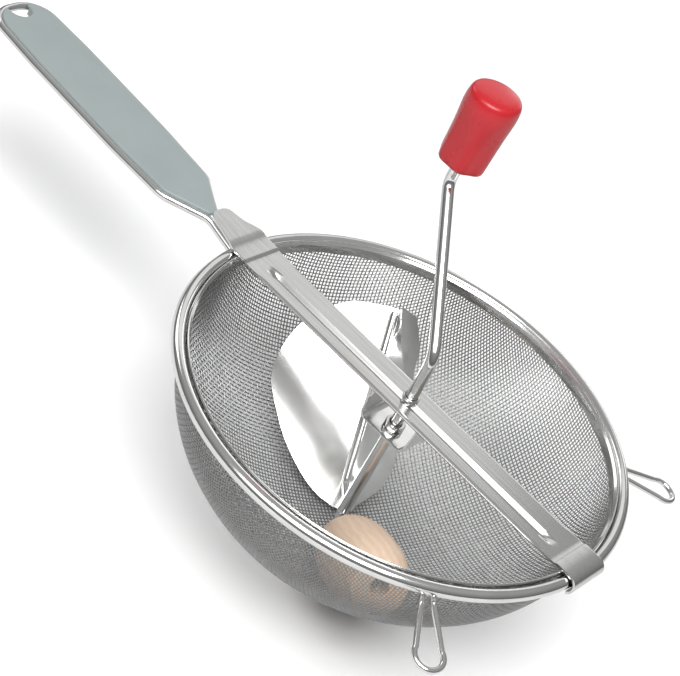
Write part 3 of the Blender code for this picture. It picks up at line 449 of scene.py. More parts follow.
def sheet(name, rows, thickness, bevel, smooth=35.0):
    """A strip of sheet metal from rows of points, with a thickness and eased edges."""
    count = len(rows[0])
    verts = [tuple(point) for row in rows for point in row]
    faces = []
    for i in range(len(rows) - 1):
        for j in range(count - 1):
            corner = i * count + j
            faces.append((corner, corner + 1, corner + count + 1, corner + count))
    obj = tidy(mesh_object(name, verts, faces))
    solid = obj.modifiers.new("thickness", "SOLIDIFY")
    solid.thickness = thickness
    solid.offset = 0.0
    solid.use_even_offset = True
    if bevel:
        ease_edges(obj, bevel, segments=2, angle=SHEET_EDGE_ANGLE)
    apply_modifiers(obj)
    return tidy(obj, smooth)


def cut(obj, tool):
    """Cuts a tool out of a piece and removes the tool."""
    boolean = obj.modifiers.new("cut", "BOOLEAN")
    boolean.operation = "DIFFERENCE"
    boolean.object = tool
    apply_modifiers(obj)
    bpy.data.objects.remove(tool)


def cylinder(radius, low, high):
    """An upright cylinder used as a tool."""
    deselect()
    bpy.ops.mesh.primitive_cylinder_add(
        vertices=TOOL_STEPS, radius=radius, depth=high - low, location=(0.0, 0.0, (low + high) / 2)
    )
    return bpy.context.object


def polar(radius, azimuth, height):
    """A point from its distance to the axis, its azimuth in radians and its height."""
    return Vector((radius * math.cos(azimuth), radius * math.sin(azimuth), height))


def arc(across, height, radius, start, end, steps):
    """Points of an arc in a plane, from its centre, its radius and two angles."""
    points = []
    for i in range(steps + 1):
        angle = start + (end - start) * i / steps
        points.append((across + radius * math.cos(angle), height + radius * math.sin(angle)))
    return points


def fillet(points, radii, steps):
    """A path with its inner corners rounded by arcs."""
    path = [Vector(points[0])]
    for before, corner, after, radius in zip(points, points[1:], points[2:], radii):
        corner = Vector(corner)
        back = (Vector(before) - corner).normalized()
        ahead = (Vector(after) - corner).normalized()
        half = back.angle(ahead) / 2
        centre = corner + (back + ahead).normalized() * (radius / math.sin(half))
        start = corner + back * (radius / math.tan(half)) - centre
        end = corner + ahead * (radius / math.tan(half)) - centre
        turn = start.angle(end)
        for i in range(steps + 1):
            share = i / steps
            swing = math.sin((1 - share) * turn) * start + math.sin(share * turn) * end
            path.append(centre + swing / math.sin(turn))
    path.append(Vector(points[-1]))
    return path


def ease(value):
    """A smooth step from 0 to 1."""
    value = min(1.0, max(0.0, value))
    return value * value * (3 - 2 * value)


def table(places, values, place):
    """A smooth curve through a table of values."""
    last_span = len(places) - 2
    i = 0
    while i < last_span and place > places[i + 1]:
        i += 1
    span = places[i + 1] - places[i]
    share = (place - places[i]) / span
    before = values[i - 1] if i > 0 else values[i]
    after = values[i + 2] if i < last_span else values[i + 1]
    before_span = places[i] - places[i - 1] if i > 0 else span
    after_span = places[i + 2] - places[i + 1] if i < last_span else span
    slope_in = (values[i + 1] - before) / (span + before_span) * span
    slope_out = (after - values[i]) / (span + after_span) * span
    square, cube = share * share, share ** 3
    return (
        (2 * cube - 3 * square + 1) * values[i] + (cube - 2 * square + share) * slope_in
        + (3 * square - 2 * cube) * values[i + 1] + (cube - square) * slope_out
    )


# Materials

def mottle_group():
    """A node group that puts out a mottled mask from object coordinates."""
    group = bpy.data.node_groups.new("mottle", "ShaderNodeTree")
    group.interface.new_socket("Stretch", in_out="INPUT", socket_type="NodeSocketVector")
    for name in ("Scale", "Detail", "Low", "High"):
        group.interface.new_socket(name, in_out="INPUT", socket_type="NodeSocketFloat")
    group.interface.new_socket("Mask", in_out="OUTPUT", socket_type="NodeSocketFloat")
    nodes, links = group.nodes, group.links
    given = nodes.new("NodeGroupInput")
    place = nodes.new("ShaderNodeTexCoord")
    mapping = nodes.new("ShaderNodeMapping")
    noise = nodes.new("ShaderNodeTexNoise")
    spread = nodes.new("ShaderNodeMapRange")
    out = nodes.new("NodeGroupOutput")
    links.new(place.outputs["Object"], mapping.inputs["Vector"])
    links.new(given.outputs["Stretch"], mapping.inputs["Scale"])
    links.new(mapping.outputs["Vector"], noise.inputs["Vector"])
    links.new(given.outputs["Scale"], noise.inputs["Scale"])
    links.new(given.outputs["Detail"], noise.inputs["Detail"])
    links.new(noise.outputs["Fac"], spread.inputs["Value"])
    links.new(given.outputs["Low"], spread.inputs["From Min"])
    links.new(given.outputs["High"], spread.inputs["From Max"])
    links.new(spread.outputs["Result"], out.inputs["Mask"])
    return group


mottle = mottle_group()

SOFT_MOTTLE = {"Stretch": (1.0, 1.0, 1.0), "Scale": 45.0, "Detail": 4.0, "Low": 0.3, "High": 0.7}
FINE_MOTTLE = {"Stretch": (1.0, 1.0, 1.0), "Scale": 400.0, "Detail": 3.0, "Low": 0.3, "High": 0.7}
DRAWN_LINES = {"Stretch": (0.03, 1.0, 1.0), "Scale": 700.0, "Detail": 3.0, "Low": 0.3, "High": 0.7}
SMEARS = {"Stretch": (1.0, 2.5, 1.0), "Scale": 30.0, "Detail": 6.0, "Low": 0.45, "High": 0.75}


def place_mask(nodes, pattern):
    """Places the mottle group in a material with a pattern's values, and gives its mask."""
    node = nodes.new("ShaderNodeGroup")
    node.node_tree = mottle
    for name, value in pattern.items():
        node.inputs[name].default_value = value
    return node.outputs["Mask"]


def mix_colour(nodes, links, mask, first, second):
    """A colour mixed by a mask."""
    mix = nodes.new("ShaderNodeMix")
    mix.data_type = "RGBA"
    mix.inputs["A"].default_value = (*first, 1.0)
    mix.inputs["B"].default_value = (*second, 1.0)
    links.new(mask, mix.inputs["Factor"])
    return mix.outputs["Result"]


def blend_value(nodes, links, mask, low, high):
    """A value spread by a mask."""
    spread = nodes.new("ShaderNodeMapRange")
    spread.inputs["To Min"].default_value = low
    spread.inputs["To Max"].default_value = high
    links.new(mask, spread.inputs["Value"])
    return spread.outputs["Result"]


def add_relief(nodes, links, shader, height, strength):
    """Fine relief on a surface from a height that changes over it."""
    relief = nodes.new("ShaderNodeBump")
    relief.inputs["Strength"].default_value = strength
    relief.inputs["Distance"].default_value = BUMP_DISTANCE
    links.new(height, relief.inputs["Height"])
    links.new(relief.outputs["Normal"], shader.inputs["Normal"])


def surface(name, pattern, colours, roughness, metallic, relief=None, bump=0.0):
    """A Principled material whose colour and roughness follow a pattern, with a pattern of relief."""
    mat = bpy.data.materials.new(name)
    mat.use_nodes = True
    nodes, links = mat.node_tree.nodes, mat.node_tree.links
    shader = nodes["Principled BSDF"]
    mask = place_mask(nodes, pattern)
    links.new(mix_colour(nodes, links, mask, *colours), shader.inputs["Base Color"])
    links.new(blend_value(nodes, links, mask, *roughness), shader.inputs["Roughness"])
    shader.inputs["Metallic"].default_value = metallic
    if relief:
        add_relief(nodes, links, shader, place_mask(nodes, relief), bump)
    return mat


polished = surface(
    "polished_steel", SOFT_MOTTLE, colours=((0.78, 0.78, 0.77), (0.70, 0.70, 0.69)),
    roughness=(0.10, 0.17), metallic=1.0, relief=FINE_MOTTLE, bump=0.03,
)
cloth = surface(
    "wire_cloth", SOFT_MOTTLE, colours=((0.41, 0.41, 0.41), (0.35, 0.35, 0.35)),
    roughness=(0.26, 0.36), metallic=1.0,
)
pressed = surface(
    "pressed_steel", DRAWN_LINES, colours=((0.68, 0.68, 0.665), (0.62, 0.62, 0.61)),
    roughness=(0.20, 0.27), metallic=1.0, relief=DRAWN_LINES, bump=0.03,
)
bright = surface(
    "blade_steel", SMEARS, colours=((0.93, 0.93, 0.92), (0.88, 0.88, 0.87)),
    roughness=(0.16, 0.22), metallic=1.0,
)
grip_plastic = surface(
    "grey_green_grip", SOFT_MOTTLE, colours=((0.255, 0.294, 0.294), (0.275, 0.314, 0.314)),
    roughness=(0.38, 0.46), metallic=0.0, relief=FINE_MOTTLE, bump=0.10,
)
knob_plastic = surface(
    "red_knob", SOFT_MOTTLE, colours=((0.45, 0.012, 0.019), (0.51, 0.018, 0.025)),
    roughness=(0.24, 0.34), metallic=0.0, relief=FINE_MOTTLE, bump=0.06,
)


def beech_material():
    """Turned beech: long grain along the axle, flecks, and rings on the ends."""
    mat = bpy.data.materials.new("beech")
    mat.use_nodes = True
    nodes, links = mat.node_tree.nodes, mat.node_tree.links
    shader = nodes["Principled BSDF"]
    grain = nodes.new("ShaderNodeAttribute")
    grain.attribute_name = "grain"
    stretch = nodes.new("ShaderNodeMapping")
    stretch.inputs["Scale"].default_value = (1.0, 1.0, 0.06)
    links.new(grain.outputs["Vector"], stretch.inputs["Vector"])
    rings = nodes.new("ShaderNodeTexWave")
    rings.wave_type = "RINGS"
    rings.rings_direction = "Z"
    rings.inputs["Scale"].default_value = 90.0
    rings.inputs["Distortion"].default_value = 3.0
    rings.inputs["Detail"].default_value = 3.0
    links.new(grain.outputs["Vector"], rings.inputs["Vector"])
    flecks = nodes.new("ShaderNodeTexNoise")
    flecks.inputs["Scale"].default_value = 900.0
    flecks.inputs["Detail"].default_value = 4.0
    links.new(stretch.outputs["Vector"], flecks.inputs["Vector"])
    tone = mix_colour(nodes, links, rings.outputs["Fac"], BEECH_WARM, BEECH_PALE)
    mix = nodes.new("ShaderNodeMix")
    mix.data_type = "RGBA"
    mix.inputs["B"].default_value = (*BEECH_FLECK, 1.0)
    links.new(tone, mix.inputs["A"])
    fleck = blend_value(nodes, links, flecks.outputs["Fac"], *BEECH_FLECK_RANGE)
    links.new(fleck, mix.inputs["Factor"])
    mix.clamp_factor = True
    links.new(mix.outputs["Result"], shader.inputs["Base Color"])
    shader.inputs["Roughness"].default_value = 0.55
    add_relief(nodes, links, shader, flecks.outputs["Fac"], 0.15)
    return mat


beech = beech_material()


# Bowl and rim

def upper_arc(inset):
    """Centre and radius of the wall's upper arc, and the angle where it ends."""
    low_radius = BOWL_LOW_RADIUS - inset
    top = Vector((CLOTH_RIM - inset, -STRAIGHT_BELOW))
    inward = Vector((-math.sin(BOWL_JOIN), math.cos(BOWL_JOIN)))
    low_end = Vector((0.0, BOWL_LOW_CENTRE)) - inward * low_radius
    chord = top - low_end
    radius = chord.length_squared / (2 * chord.dot(inward))
    centre = low_end + inward * radius
    return centre, radius, math.atan2(top[0] - centre[0], centre[1] - top[1])


WALL_CENTRE, WALL_RADIUS, _ = upper_arc(0.0)
CLOTH_CENTRE, CLOTH_RADIUS, CLOTH_END = upper_arc(CLOTH_INSET)
CLOTH_LOW_RADIUS = BOWL_LOW_RADIUS - CLOTH_INSET
LOW_LENGTH = CLOTH_LOW_RADIUS * BOWL_JOIN
HIGH_LENGTH = LOW_LENGTH + CLOTH_RADIUS * (CLOTH_END - BOWL_JOIN)
RIM_LENGTH = HIGH_LENGTH + STRAIGHT_BELOW + STRAIGHT_ABOVE


def bowl_point(length, azimuth, lift=0.0):
    """A point of the cloth from its distance along the wall from the pole, with its outward lift."""
    if length < LOW_LENGTH:
        angle = length / CLOTH_LOW_RADIUS
        reach = (CLOTH_LOW_RADIUS + lift) * math.sin(angle)
        height = BOWL_LOW_CENTRE - (CLOTH_LOW_RADIUS + lift) * math.cos(angle)
    elif length < HIGH_LENGTH:
        angle = BOWL_JOIN + (length - LOW_LENGTH) / CLOTH_RADIUS
        reach = CLOTH_CENTRE[0] + (CLOTH_RADIUS + lift) * math.sin(angle)
        height = CLOTH_CENTRE[1] - (CLOTH_RADIUS + lift) * math.cos(angle)
    else:
        reach = CLOTH_RIM - CLOTH_INSET + lift
        height = length - HIGH_LENGTH - STRAIGHT_BELOW
    return polar(reach, azimuth, height)


def net_node(first, second, back):
    """The fourth corner of a mesh of the net, one pitch from two of its corners."""
    corner_a, corner_b = bowl_point(*first), bowl_point(*second)
    guess = corner_a + corner_b - bowl_point(*back)
    length = (first[0] + second[0]) - back[0]
    azimuth = math.atan2(guess[1], guess[0])
    step = WEAVE_PITCH * NET_STEP_SHARE
    for _ in range(NET_ROUNDS):
        here = bowl_point(length, azimuth)
        turn = step / max(math.hypot(here[0], here[1]), step)
        along = (bowl_point(length + step, azimuth) - here) / step
        aside = (bowl_point(length, azimuth + turn) - here) / turn
        from_a, from_b = here - corner_a, here - corner_b
        miss_a = from_a.length_squared - WEAVE_PITCH ** 2
        miss_b = from_b.length_squared - WEAVE_PITCH ** 2
        a_along, a_aside = 2 * from_a.dot(along), 2 * from_a.dot(aside)
        b_along, b_aside = 2 * from_b.dot(along), 2 * from_b.dot(aside)
        spread = a_along * b_aside - a_aside * b_along
        if abs(spread) < WEAVE_PITCH ** 4:
            break
        length -= (b_aside * miss_a - a_aside * miss_b) / spread
        azimuth -= (a_along * miss_b - b_along * miss_a) / spread
    return length, azimuth


def weave_net():
    """Crossings of the cloth in one quarter: pressed wire cloth keeps its pitch and shears."""
    count = int(RIM_LENGTH / WEAVE_PITCH) + 1
    net = [[None] * (count + 1) for _ in range(count + 1)]
    for i in range(count + 1):
        net[i][0] = (i * WEAVE_PITCH, 0.0)
        net[0][i] = (i * WEAVE_PITCH, math.pi / 2)
    for i in range(1, count + 1):
        for j in range(1, count + 1):
            corners = (net[i - 1][j], net[i][j - 1], net[i - 1][j - 1])
            if None in corners or corners[2][0] > RIM_LENGTH:
                continue
            node = net_node(*corners)
            if node[0] < RIM_LENGTH + WEAVE_PITCH * 2:
                net[i][j] = node
    return net


def wire_path(net, family, line):
    """One wire's way across the bowl, over and under the wires that it crosses."""
    path = []
    for step in range(1 - len(net), len(net)):
        x, y = (step, line) if family == 0 else (line, step)
        node = net[abs(x)][abs(y)]
        if node is None:
            continue
        length, azimuth = node
        if x < 0:
            azimuth = math.pi - azimuth
        if y < 0:
            azimuth = -azimuth
        side = 1.0 if (step + line + family) % 2 else -1.0
        lift = side * WEAVE_RADIUS * WEAVE_LIFT_SHARE
        length = min(length, RIM_LENGTH)
        if length >= RIM_LENGTH - WEAVE_PITCH:
            lift = 0.0
        point = bowl_point(length, azimuth + WEAVE_TURN, lift)
        if not path or (point - path[-1]).length > WEAVE_PITCH * WEAVE_SHORTEST_SHARE:
            path.append(point)
    return path


def build_bowl():
    """The woven bowl, in four pieces: each direction of wire in two halves."""
    net = weave_net()
    for family, label in enumerate(("warp", "weft")):
        paths = [wire_path(net, family, line) for line in range(1 - len(net), len(net))]
        paths = [path for path in paths if len(path) > 2]
        half = len(paths) // 2
        for side, part in (("a", paths[:half]), ("b", paths[half:])):
            obj = tube("cloth_%s_%s" % (label, side), part, WEAVE_RADIUS, roundness=0, smooth=100.0)
            dress(obj, "sieve", cloth, "mesh_bowl")


def build_rim():
    """The rolled bead and the flared inner lip."""
    section = arc(BEAD_CENTRE, 0.0, BEAD_RADIUS, 0.0, -2 * math.pi, BEAD_ARC_STEPS)[:-1]
    dress(lathe("bead", section, RIM_STEPS), "sieve", polished, "rim_bead")
    half = LIP_THICKNESS / 2
    inner = LIP_OUTER - LIP_THICKNESS
    flared = LIP_OUTER + LIP_FLARE
    section = [
        *arc(flared - half, LIP_TOP - half, half, 0.0, math.pi, LIP_ARC_STEPS),
        (inner + LIP_FLARE, LIP_FLARE_HIGH + half),
        (inner, LIP_FLARE_LOW + half),
        *arc(LIP_OUTER - half, half - LIP_BOTTOM, half, math.pi, 2 * math.pi, LIP_ARC_STEPS),
        (LIP_OUTER, LIP_FLARE_LOW),
        (flared, LIP_FLARE_HIGH),
    ]
    lip = lathe("lip", section[::-1], RIM_STEPS, smooth=50.0)
    dress(lip, "sieve", polished, "rim_lip")


# Handle

def handle_matrix():
    """Places handle coordinates (distance from the rim, side, height) in the frame."""
    along = Vector((-math.cos(HANDLE_SLOPE), 0.0, math.sin(HANDLE_SLOPE)))
    side = Vector((0.0, -1.0, 0.0))
    turn = Matrix((along, side, along.cross(side))).transposed().to_4x4()
    return Matrix.Translation((-RIM_RADIUS, 0.0, -HANDLE_ROOT_DROP)) @ turn


def handle_half():
    """Half of the handle wire's middle line."""
    points = [
        (-NECK_OVERLAP, NECK_HALF_WIDTH, -NECK_DROP),
        (NECK_LENGTH, NECK_HALF_WIDTH, 0.0),
        (SHOULDER_END, GRIP_HALF_WIDTH, 0.0),
        (GRIP_WIDE_START, GRIP_WIDE_HALF_WIDTH, 0.0),
        (GRIP_WIDE_END, GRIP_WIDE_HALF_WIDTH, 0.0),
        (HANDLE_LENGTH, GRIP_TIP_HALF_WIDTH, 0.0),
        (HANDLE_LENGTH, 0.0, 0.0),
    ]
    radii = (
        NECK_BEND_RADIUS, SHOULDER_BEND_RADIUS, GRIP_SIDE_BEND_RADIUS,
        GRIP_SIDE_BEND_RADIUS, TIP_BEND_RADIUS,
    )
    return fillet(points, radii, steps=12)


def handle_outline(half, offset, start):
    """Outline of the grip: the wire's line moved sideways, with a notch for the hanging eye."""
    hole = HANDLE_LENGTH - HANG_NOTCH_SET_BACK
    side = []
    for before, here, after in zip(half, half[1:], half[2:]):
        along = (after - before).normalized()
        x, y, _ = here + Vector((-along[1], along[0], 0.0)) * offset
        if x > start and math.hypot(x - hole, y) > HANG_NOTCH_CLEAR_RADIUS:
            side.append((x, y))
    nose = [(start - GRIP_NOSE_LENGTH, side[0][1] * GRIP_NOSE_WIDTH_SHARE)]
    turn = math.atan2(side[-1][1], hole - side[-1][0]) * HANG_NOTCH_TURN_SHARE
    notch = arc(hole, 0.0, HANG_NOTCH_RADIUS, math.pi - turn, math.pi, NOTCH_ARC_STEPS)
    upper = nose + side + notch
    return [(x, y, 0.0) for x, y in upper] + [(x, -y, 0.0) for x, y in reversed(upper[:-1])]


def grip_solid(name, outline, low, high, edge):
    """A flat moulding from its outline, with rounded edges, in the handle's place."""
    obj = curve_object(name, [outline], True)
    obj.data.dimensions = "2D"
    obj.data.fill_mode = "BOTH"
    obj.data.extrude = (high - low) / 2 - edge
    obj.data.bevel_depth = edge
    obj.data.bevel_resolution = 5
    obj.data.offset = -edge
    obj = convert(obj)
    obj.data.transform(handle_matrix() @ Matrix.Translation((0.0, 0.0, (high + low) / 2)))
    return tidy(obj, smooth=40.0)


def build_handle():
    """The bent wire and the flat grip inside it, a body with a cover."""
    half = handle_half()
    other = [Vector((x, -y, z)) for x, y, z in reversed(half[:-1])]
    wire = tube("handle_wire_bent", [half[:-1] + other], HANDLE_WIRE_RADIUS, roundness=6)
    wire.data.transform(handle_matrix())
    dress(wire, "sieve", polished, "handle_wire")
    outline = handle_outline(half, -HANDLE_WIRE_RADIUS - SEAT_GAP, GRIP_BODY_START)
    body = grip_solid("grip_body", outline, GRIP_BODY_LOW, GRIP_BODY_HIGH, GRIP_BODY_EDGE)
    outline = handle_outline(half, -GRIP_COVER_SET_IN, GRIP_COVER_START)
    cover = grip_solid("grip_cover", outline, GRIP_COVER_LOW, GRIP_COVER_HIGH, GRIP_COVER_EDGE)
    for obj in (body, cover):
        dress(obj, "sieve", grip_plastic, "handle_grip")


def build_loops():
    """The two wire loops that rest on a pot's rim."""
    line = [(0.0, LOOP_LEG_HALF_GAP)]
    line += arc(
        LOOP_LENGTH - LOOP_EYE_RADIUS, 0.0, LOOP_EYE_RADIUS,
        LOOP_EYE_HALF_ANGLE, -LOOP_EYE_HALF_ANGLE, LOOP_ARC_STEPS,
    )
    line += [(0.0, -LOOP_LEG_HALF_GAP)]
    path = [(x, y, 0.0) for x, y in line]
    seat = BEAD_RADIUS + SEAT_GAP
    for name, azimuth in LOOP_AZIMUTHS:
        obj = tube("loop_" + name, [path], LOOP_WIRE_RADIUS, roundness=5)
        start = polar(
            BEAD_CENTRE + seat * math.cos(LOOP_SEAT) - LOOP_WIRE_RADIUS * math.sin(LOOP_SLOPE),
            azimuth,
            -seat * math.sin(LOOP_SEAT) - LOOP_WIRE_RADIUS * math.cos(LOOP_SLOPE),
        )
        turn = Matrix.Rotation(azimuth, 4, "Z") @ Matrix.Rotation(LOOP_SLOPE, 4, "Y")
        obj.data.transform(Matrix.Translation(start) @ turn)
        dress(obj, "sieve", polished, "rest_loop_" + name)


# Bridge

def bar_drop(reach, side):
    """How deep the bar is pressed at a place: the groove, its run-out and the turned-down edges."""
    ends = ease((GROOVE_HALF_LENGTH - abs(reach)) / GROOVE_RUN_OUT)
    wall_width = GROOVE_HALF_WIDTH - GROOVE_FLOOR_HALF_WIDTH
    groove = GROOVE_DEPTH * ease((GROOVE_HALF_WIDTH - abs(side + GROOVE_OFFSET)) / wall_width)
    edge = BAR_EDGE_DROP * ease((abs(side) - BAR_HALF_WIDTH + BAR_EDGE_WIDTH) / BAR_EDGE_WIDTH)
    return (groove + edge) * ends


def flat_row(reach, height, share=1.0, shift=0.0):
    """One fine row of points across the bar where it isn't pressed."""
    row = []
    for k in range(BAR_CROSS_STEPS + 1):
        side = BAR_HALF_WIDTH * (2 * k / BAR_CROSS_STEPS - 1)
        row.append(Vector((reach, side * share - shift, height)))
    return row


def pressed_row(reach, height):
    """One fine row of points across the bar with its pressed groove and edges."""
    return [point - Vector((0.0, 0.0, bar_drop(reach, point[1]))) for point in flat_row(reach, height)]


def tab_rows():
    """Rows of the thumb tab from its tip to its bend: it tapers, rises and stands to one side."""
    rows = []
    for i in range(TAB_STEPS + 1):
        place = 1 - (i / TAB_STEPS) ** TAB_ROW_POWER
        width = table(TAB_REACH_SHARES, TAB_WIDTH_SHARES, place)
        shift = TAB_SIDE_SHIFT * table(TAB_REACH_SHARES, TAB_SHIFT_SHARES, place)
        reach = -RIM_RADIUS - TAB_LENGTH * place
        rows.append(flat_row(reach, TAB_BEND_HEIGHT + TAB_RISE * place, width, shift))
    return rows


def step_rows(start, end, low, high):
    """Rows of a step in the bar, between two places and two heights."""
    rows = []
    for i in range(BAR_STEP_ROWS + 1):
        share = i / BAR_STEP_ROWS
        rows.append(pressed_row(start + (end - start) * share, low + (high - low) * ease(share)))
    return rows


def build_bar():
    """The crossbar with its thumb tab, pressed groove and hook, its faces left bare."""
    rows = tab_rows()
    rows += [
        flat_row(-TAB_ROOT, TAB_ROOT_HEIGHT),
        flat_row(-OVER_RIM_END, OVER_RIM),
        flat_row(-OVER_RIM_START, OVER_RIM),
        flat_row(-BAR_STEP_CREST, OVER_RIM - BAR_STEP_CREST_DROP),
    ]
    rows += step_rows(-BAR_STEP_TOP_BY_HANDLE, -BAR_STEP_FOOT, OVER_RIM, BAR_HEIGHT)
    for i in range(BAR_FLAT_STEPS + 1):
        rows.append(pressed_row(BAR_FLAT_HALF_LENGTH * (2 * i / BAR_FLAT_STEPS - 1), BAR_HEIGHT))
    rows += step_rows(BAR_STEP_FOOT, BAR_STEP_TOP_BY_HOOK, BAR_HEIGHT, OVER_RIM)
    hook = arc(HOOK_CENTRE, 0.0, OVER_RIM, math.pi / 2, HOOK_TIP_ANGLE, HOOK_STEPS)
    rows += [flat_row(reach, height) for reach, height in hook]
    obj = sheet("bar", rows, BAR_THICKNESS, BAR_EDGE_EASE)
    cut(obj, cylinder(ROD_BORE, *BAR_BORE_SPAN))
    dress(tidy(obj), "bridge", pressed, "crossbar")


def ring(name, radius, low, high, body, node, place=None, bevel=RING_EDGE_EASE):
    """A turned steel ring on the rod, with eased edges."""
    section = [(radius, high), (radius, low), (ROD_BORE, low), (ROD_BORE, high)]
    obj = lathe(name, section, RING_STEPS, place, bevel=bevel)
    dress(obj, body, polished, node)


def groove_notch():
    """The tool that frees the stirrup round the bar's groove."""
    deselect()
    bpy.ops.mesh.primitive_cube_add(size=1.0, location=(0.0, -GROOVE_OFFSET, STIRRUP_NOTCH_MIDDLE))
    notch = bpy.context.object
    width = (GROOVE_HALF_WIDTH + BAR_THICKNESS + RUNNING_GAP) * 2
    notch.scale = (STIRRUP_NOTCH_LENGTH, width, STIRRUP_NOTCH_DEPTH)
    activate(notch)
    bpy.ops.object.transform_apply(location=False, rotation=False, scale=True)
    return notch


def build_stirrup():
    """The bright bracket under the bar with its lower bush."""
    top = BAR_HEIGHT - BAR_THICKNESS / 2 - SEAT_GAP
    corners = [
        (-STIRRUP_TOP_HALF_LENGTH, 0.0, top),
        (-STIRRUP_HALF_LENGTH, 0.0, STIRRUP_PLATE_HEIGHT),
        (STIRRUP_HALF_LENGTH, 0.0, STIRRUP_PLATE_HEIGHT),
        (STIRRUP_TOP_HALF_LENGTH, 0.0, top),
    ]
    rows = []
    for point in fillet(corners, (STIRRUP_BEND_RADIUS, STIRRUP_BEND_RADIUS), steps=10):
        row = []
        for k in range(STIRRUP_CROSS_STEPS + 1):
            side = STIRRUP_HALF_WIDTH * (2 * k / STIRRUP_CROSS_STEPS - 1)
            row.append(point + Vector((0.0, side, 0.0)))
        rows.append(row)
    obj = sheet("stirrup", rows, STIRRUP_THICKNESS, STIRRUP_EDGE_EASE)
    cut(obj, cylinder(ROD_BORE, *STIRRUP_BORE_SPAN))
    cut(obj, groove_notch())
    dress(tidy(obj), "bridge", bright, "bearing_stirrup")
    low = STIRRUP_PLATE_HEIGHT + STIRRUP_THICKNESS / 2 + SEAT_GAP
    ring("bush", BUSH_RADIUS, low, low + BUSH_HEIGHT, "bridge", "lower_bush")


# Crank, knob, roller and blade

def roller_frame():
    """Place on the axle where the roller is widest, the axle's direction, and the matrix of both."""
    reach = BOWL_LOW_RADIUS - WALL - ROLLER_RADIUS - ROLLER_WALL_GAP
    height = BOWL_LOW_CENTRE - reach * math.cos(ROLLER_ANGLE)
    centre = polar(reach * math.sin(ROLLER_ANGLE), FOOT_AZIMUTH, height)
    along = polar(math.cos(ROLLER_ANGLE), FOOT_AZIMUTH, math.sin(ROLLER_ANGLE))
    side = polar(1.0, FOOT_AZIMUTH + math.pi / 2, 0.0)
    turn = Matrix((side, along.cross(side), along)).transposed().to_4x4()
    return centre, along, Matrix.Translation(centre) @ turn


def build_crank():
    """The bent rod, from inside the knob to the end of the roller's axle."""
    centre, along, _ = roller_frame()
    foot = centre[2] - math.hypot(centre[0], centre[1]) * math.tan(ROLLER_ANGLE)
    corners = [
        polar(-CRANK_REACH, ARM_AZIMUTH, CRANK_TOP_HEIGHT),
        polar(-CRANK_REACH, ARM_AZIMUTH, CRANK_ELBOW_HEIGHT),
        Vector((0.0, 0.0, CRANK_BEND_HEIGHT)),
        Vector((0.0, 0.0, foot)),
        centre + along * (ROLLER_RECESS_FLOOR + ROD_FOOT_STAND),
    ]
    path = fillet(corners, (ELBOW_RADIUS, BEND_RADIUS, FOOT_BEND_RADIUS), steps=20)
    rod = tube("rod", [path], ROD_RADIUS, roundness=6)
    dress(rod, "crank", polished, "crank_rod")


def build_shaft_fittings():
    """The collar over the bar, and the washer and cross pin under the stirrup."""
    low = BAR_HEIGHT + BAR_THICKNESS / 2 + RUNNING_GAP
    ring(
        "collar", COLLAR_RADIUS, low, low + COLLAR_HEIGHT, "crank", "thrust_collar",
        bevel=COLLAR_EDGE_EASE,
    )
    high = STIRRUP_PLATE_HEIGHT - STIRRUP_THICKNESS / 2 - RUNNING_GAP
    low = high - WASHER_THICKNESS
    ring("washer", WASHER_RADIUS, low, high, "crank", "shaft_washer")
    height = low - RUNNING_GAP - PIN_RADIUS
    ends = [polar(reach, ARM_AZIMUTH, height) for reach in (PIN_HALF_LENGTH, -PIN_HALF_LENGTH)]
    pin = tube("pin", [ends], PIN_RADIUS, roundness=4)
    dress(pin, "crank", polished, "shaft_pin")


def build_stops():
    """The ring under the knob, and the clip and ring that keep the roller on its axle."""
    place = Matrix.Translation(polar(-CRANK_REACH, ARM_AZIMUTH, 0.0))
    high = KNOB_BASE_HEIGHT - RUNNING_GAP
    ring("knob_stop_ring", KNOB_STOP_RADIUS, high - KNOB_STOP_HEIGHT, high, "crank", "knob_stop", place)
    place = roller_frame()[2]
    low = ROLLER_RECESS_FLOOR + RUNNING_GAP
    ring("clip", CLIP_RADIUS, low, low + CLIP_THICKNESS, "crank", "roller_clip", place, CLIP_EDGE_EASE)
    high = ROLLER_INNER - RUNNING_GAP
    ring("roller_stop_ring", STOP_RADIUS, high - STOP_THICKNESS, high, "crank", "roller_stop", place)


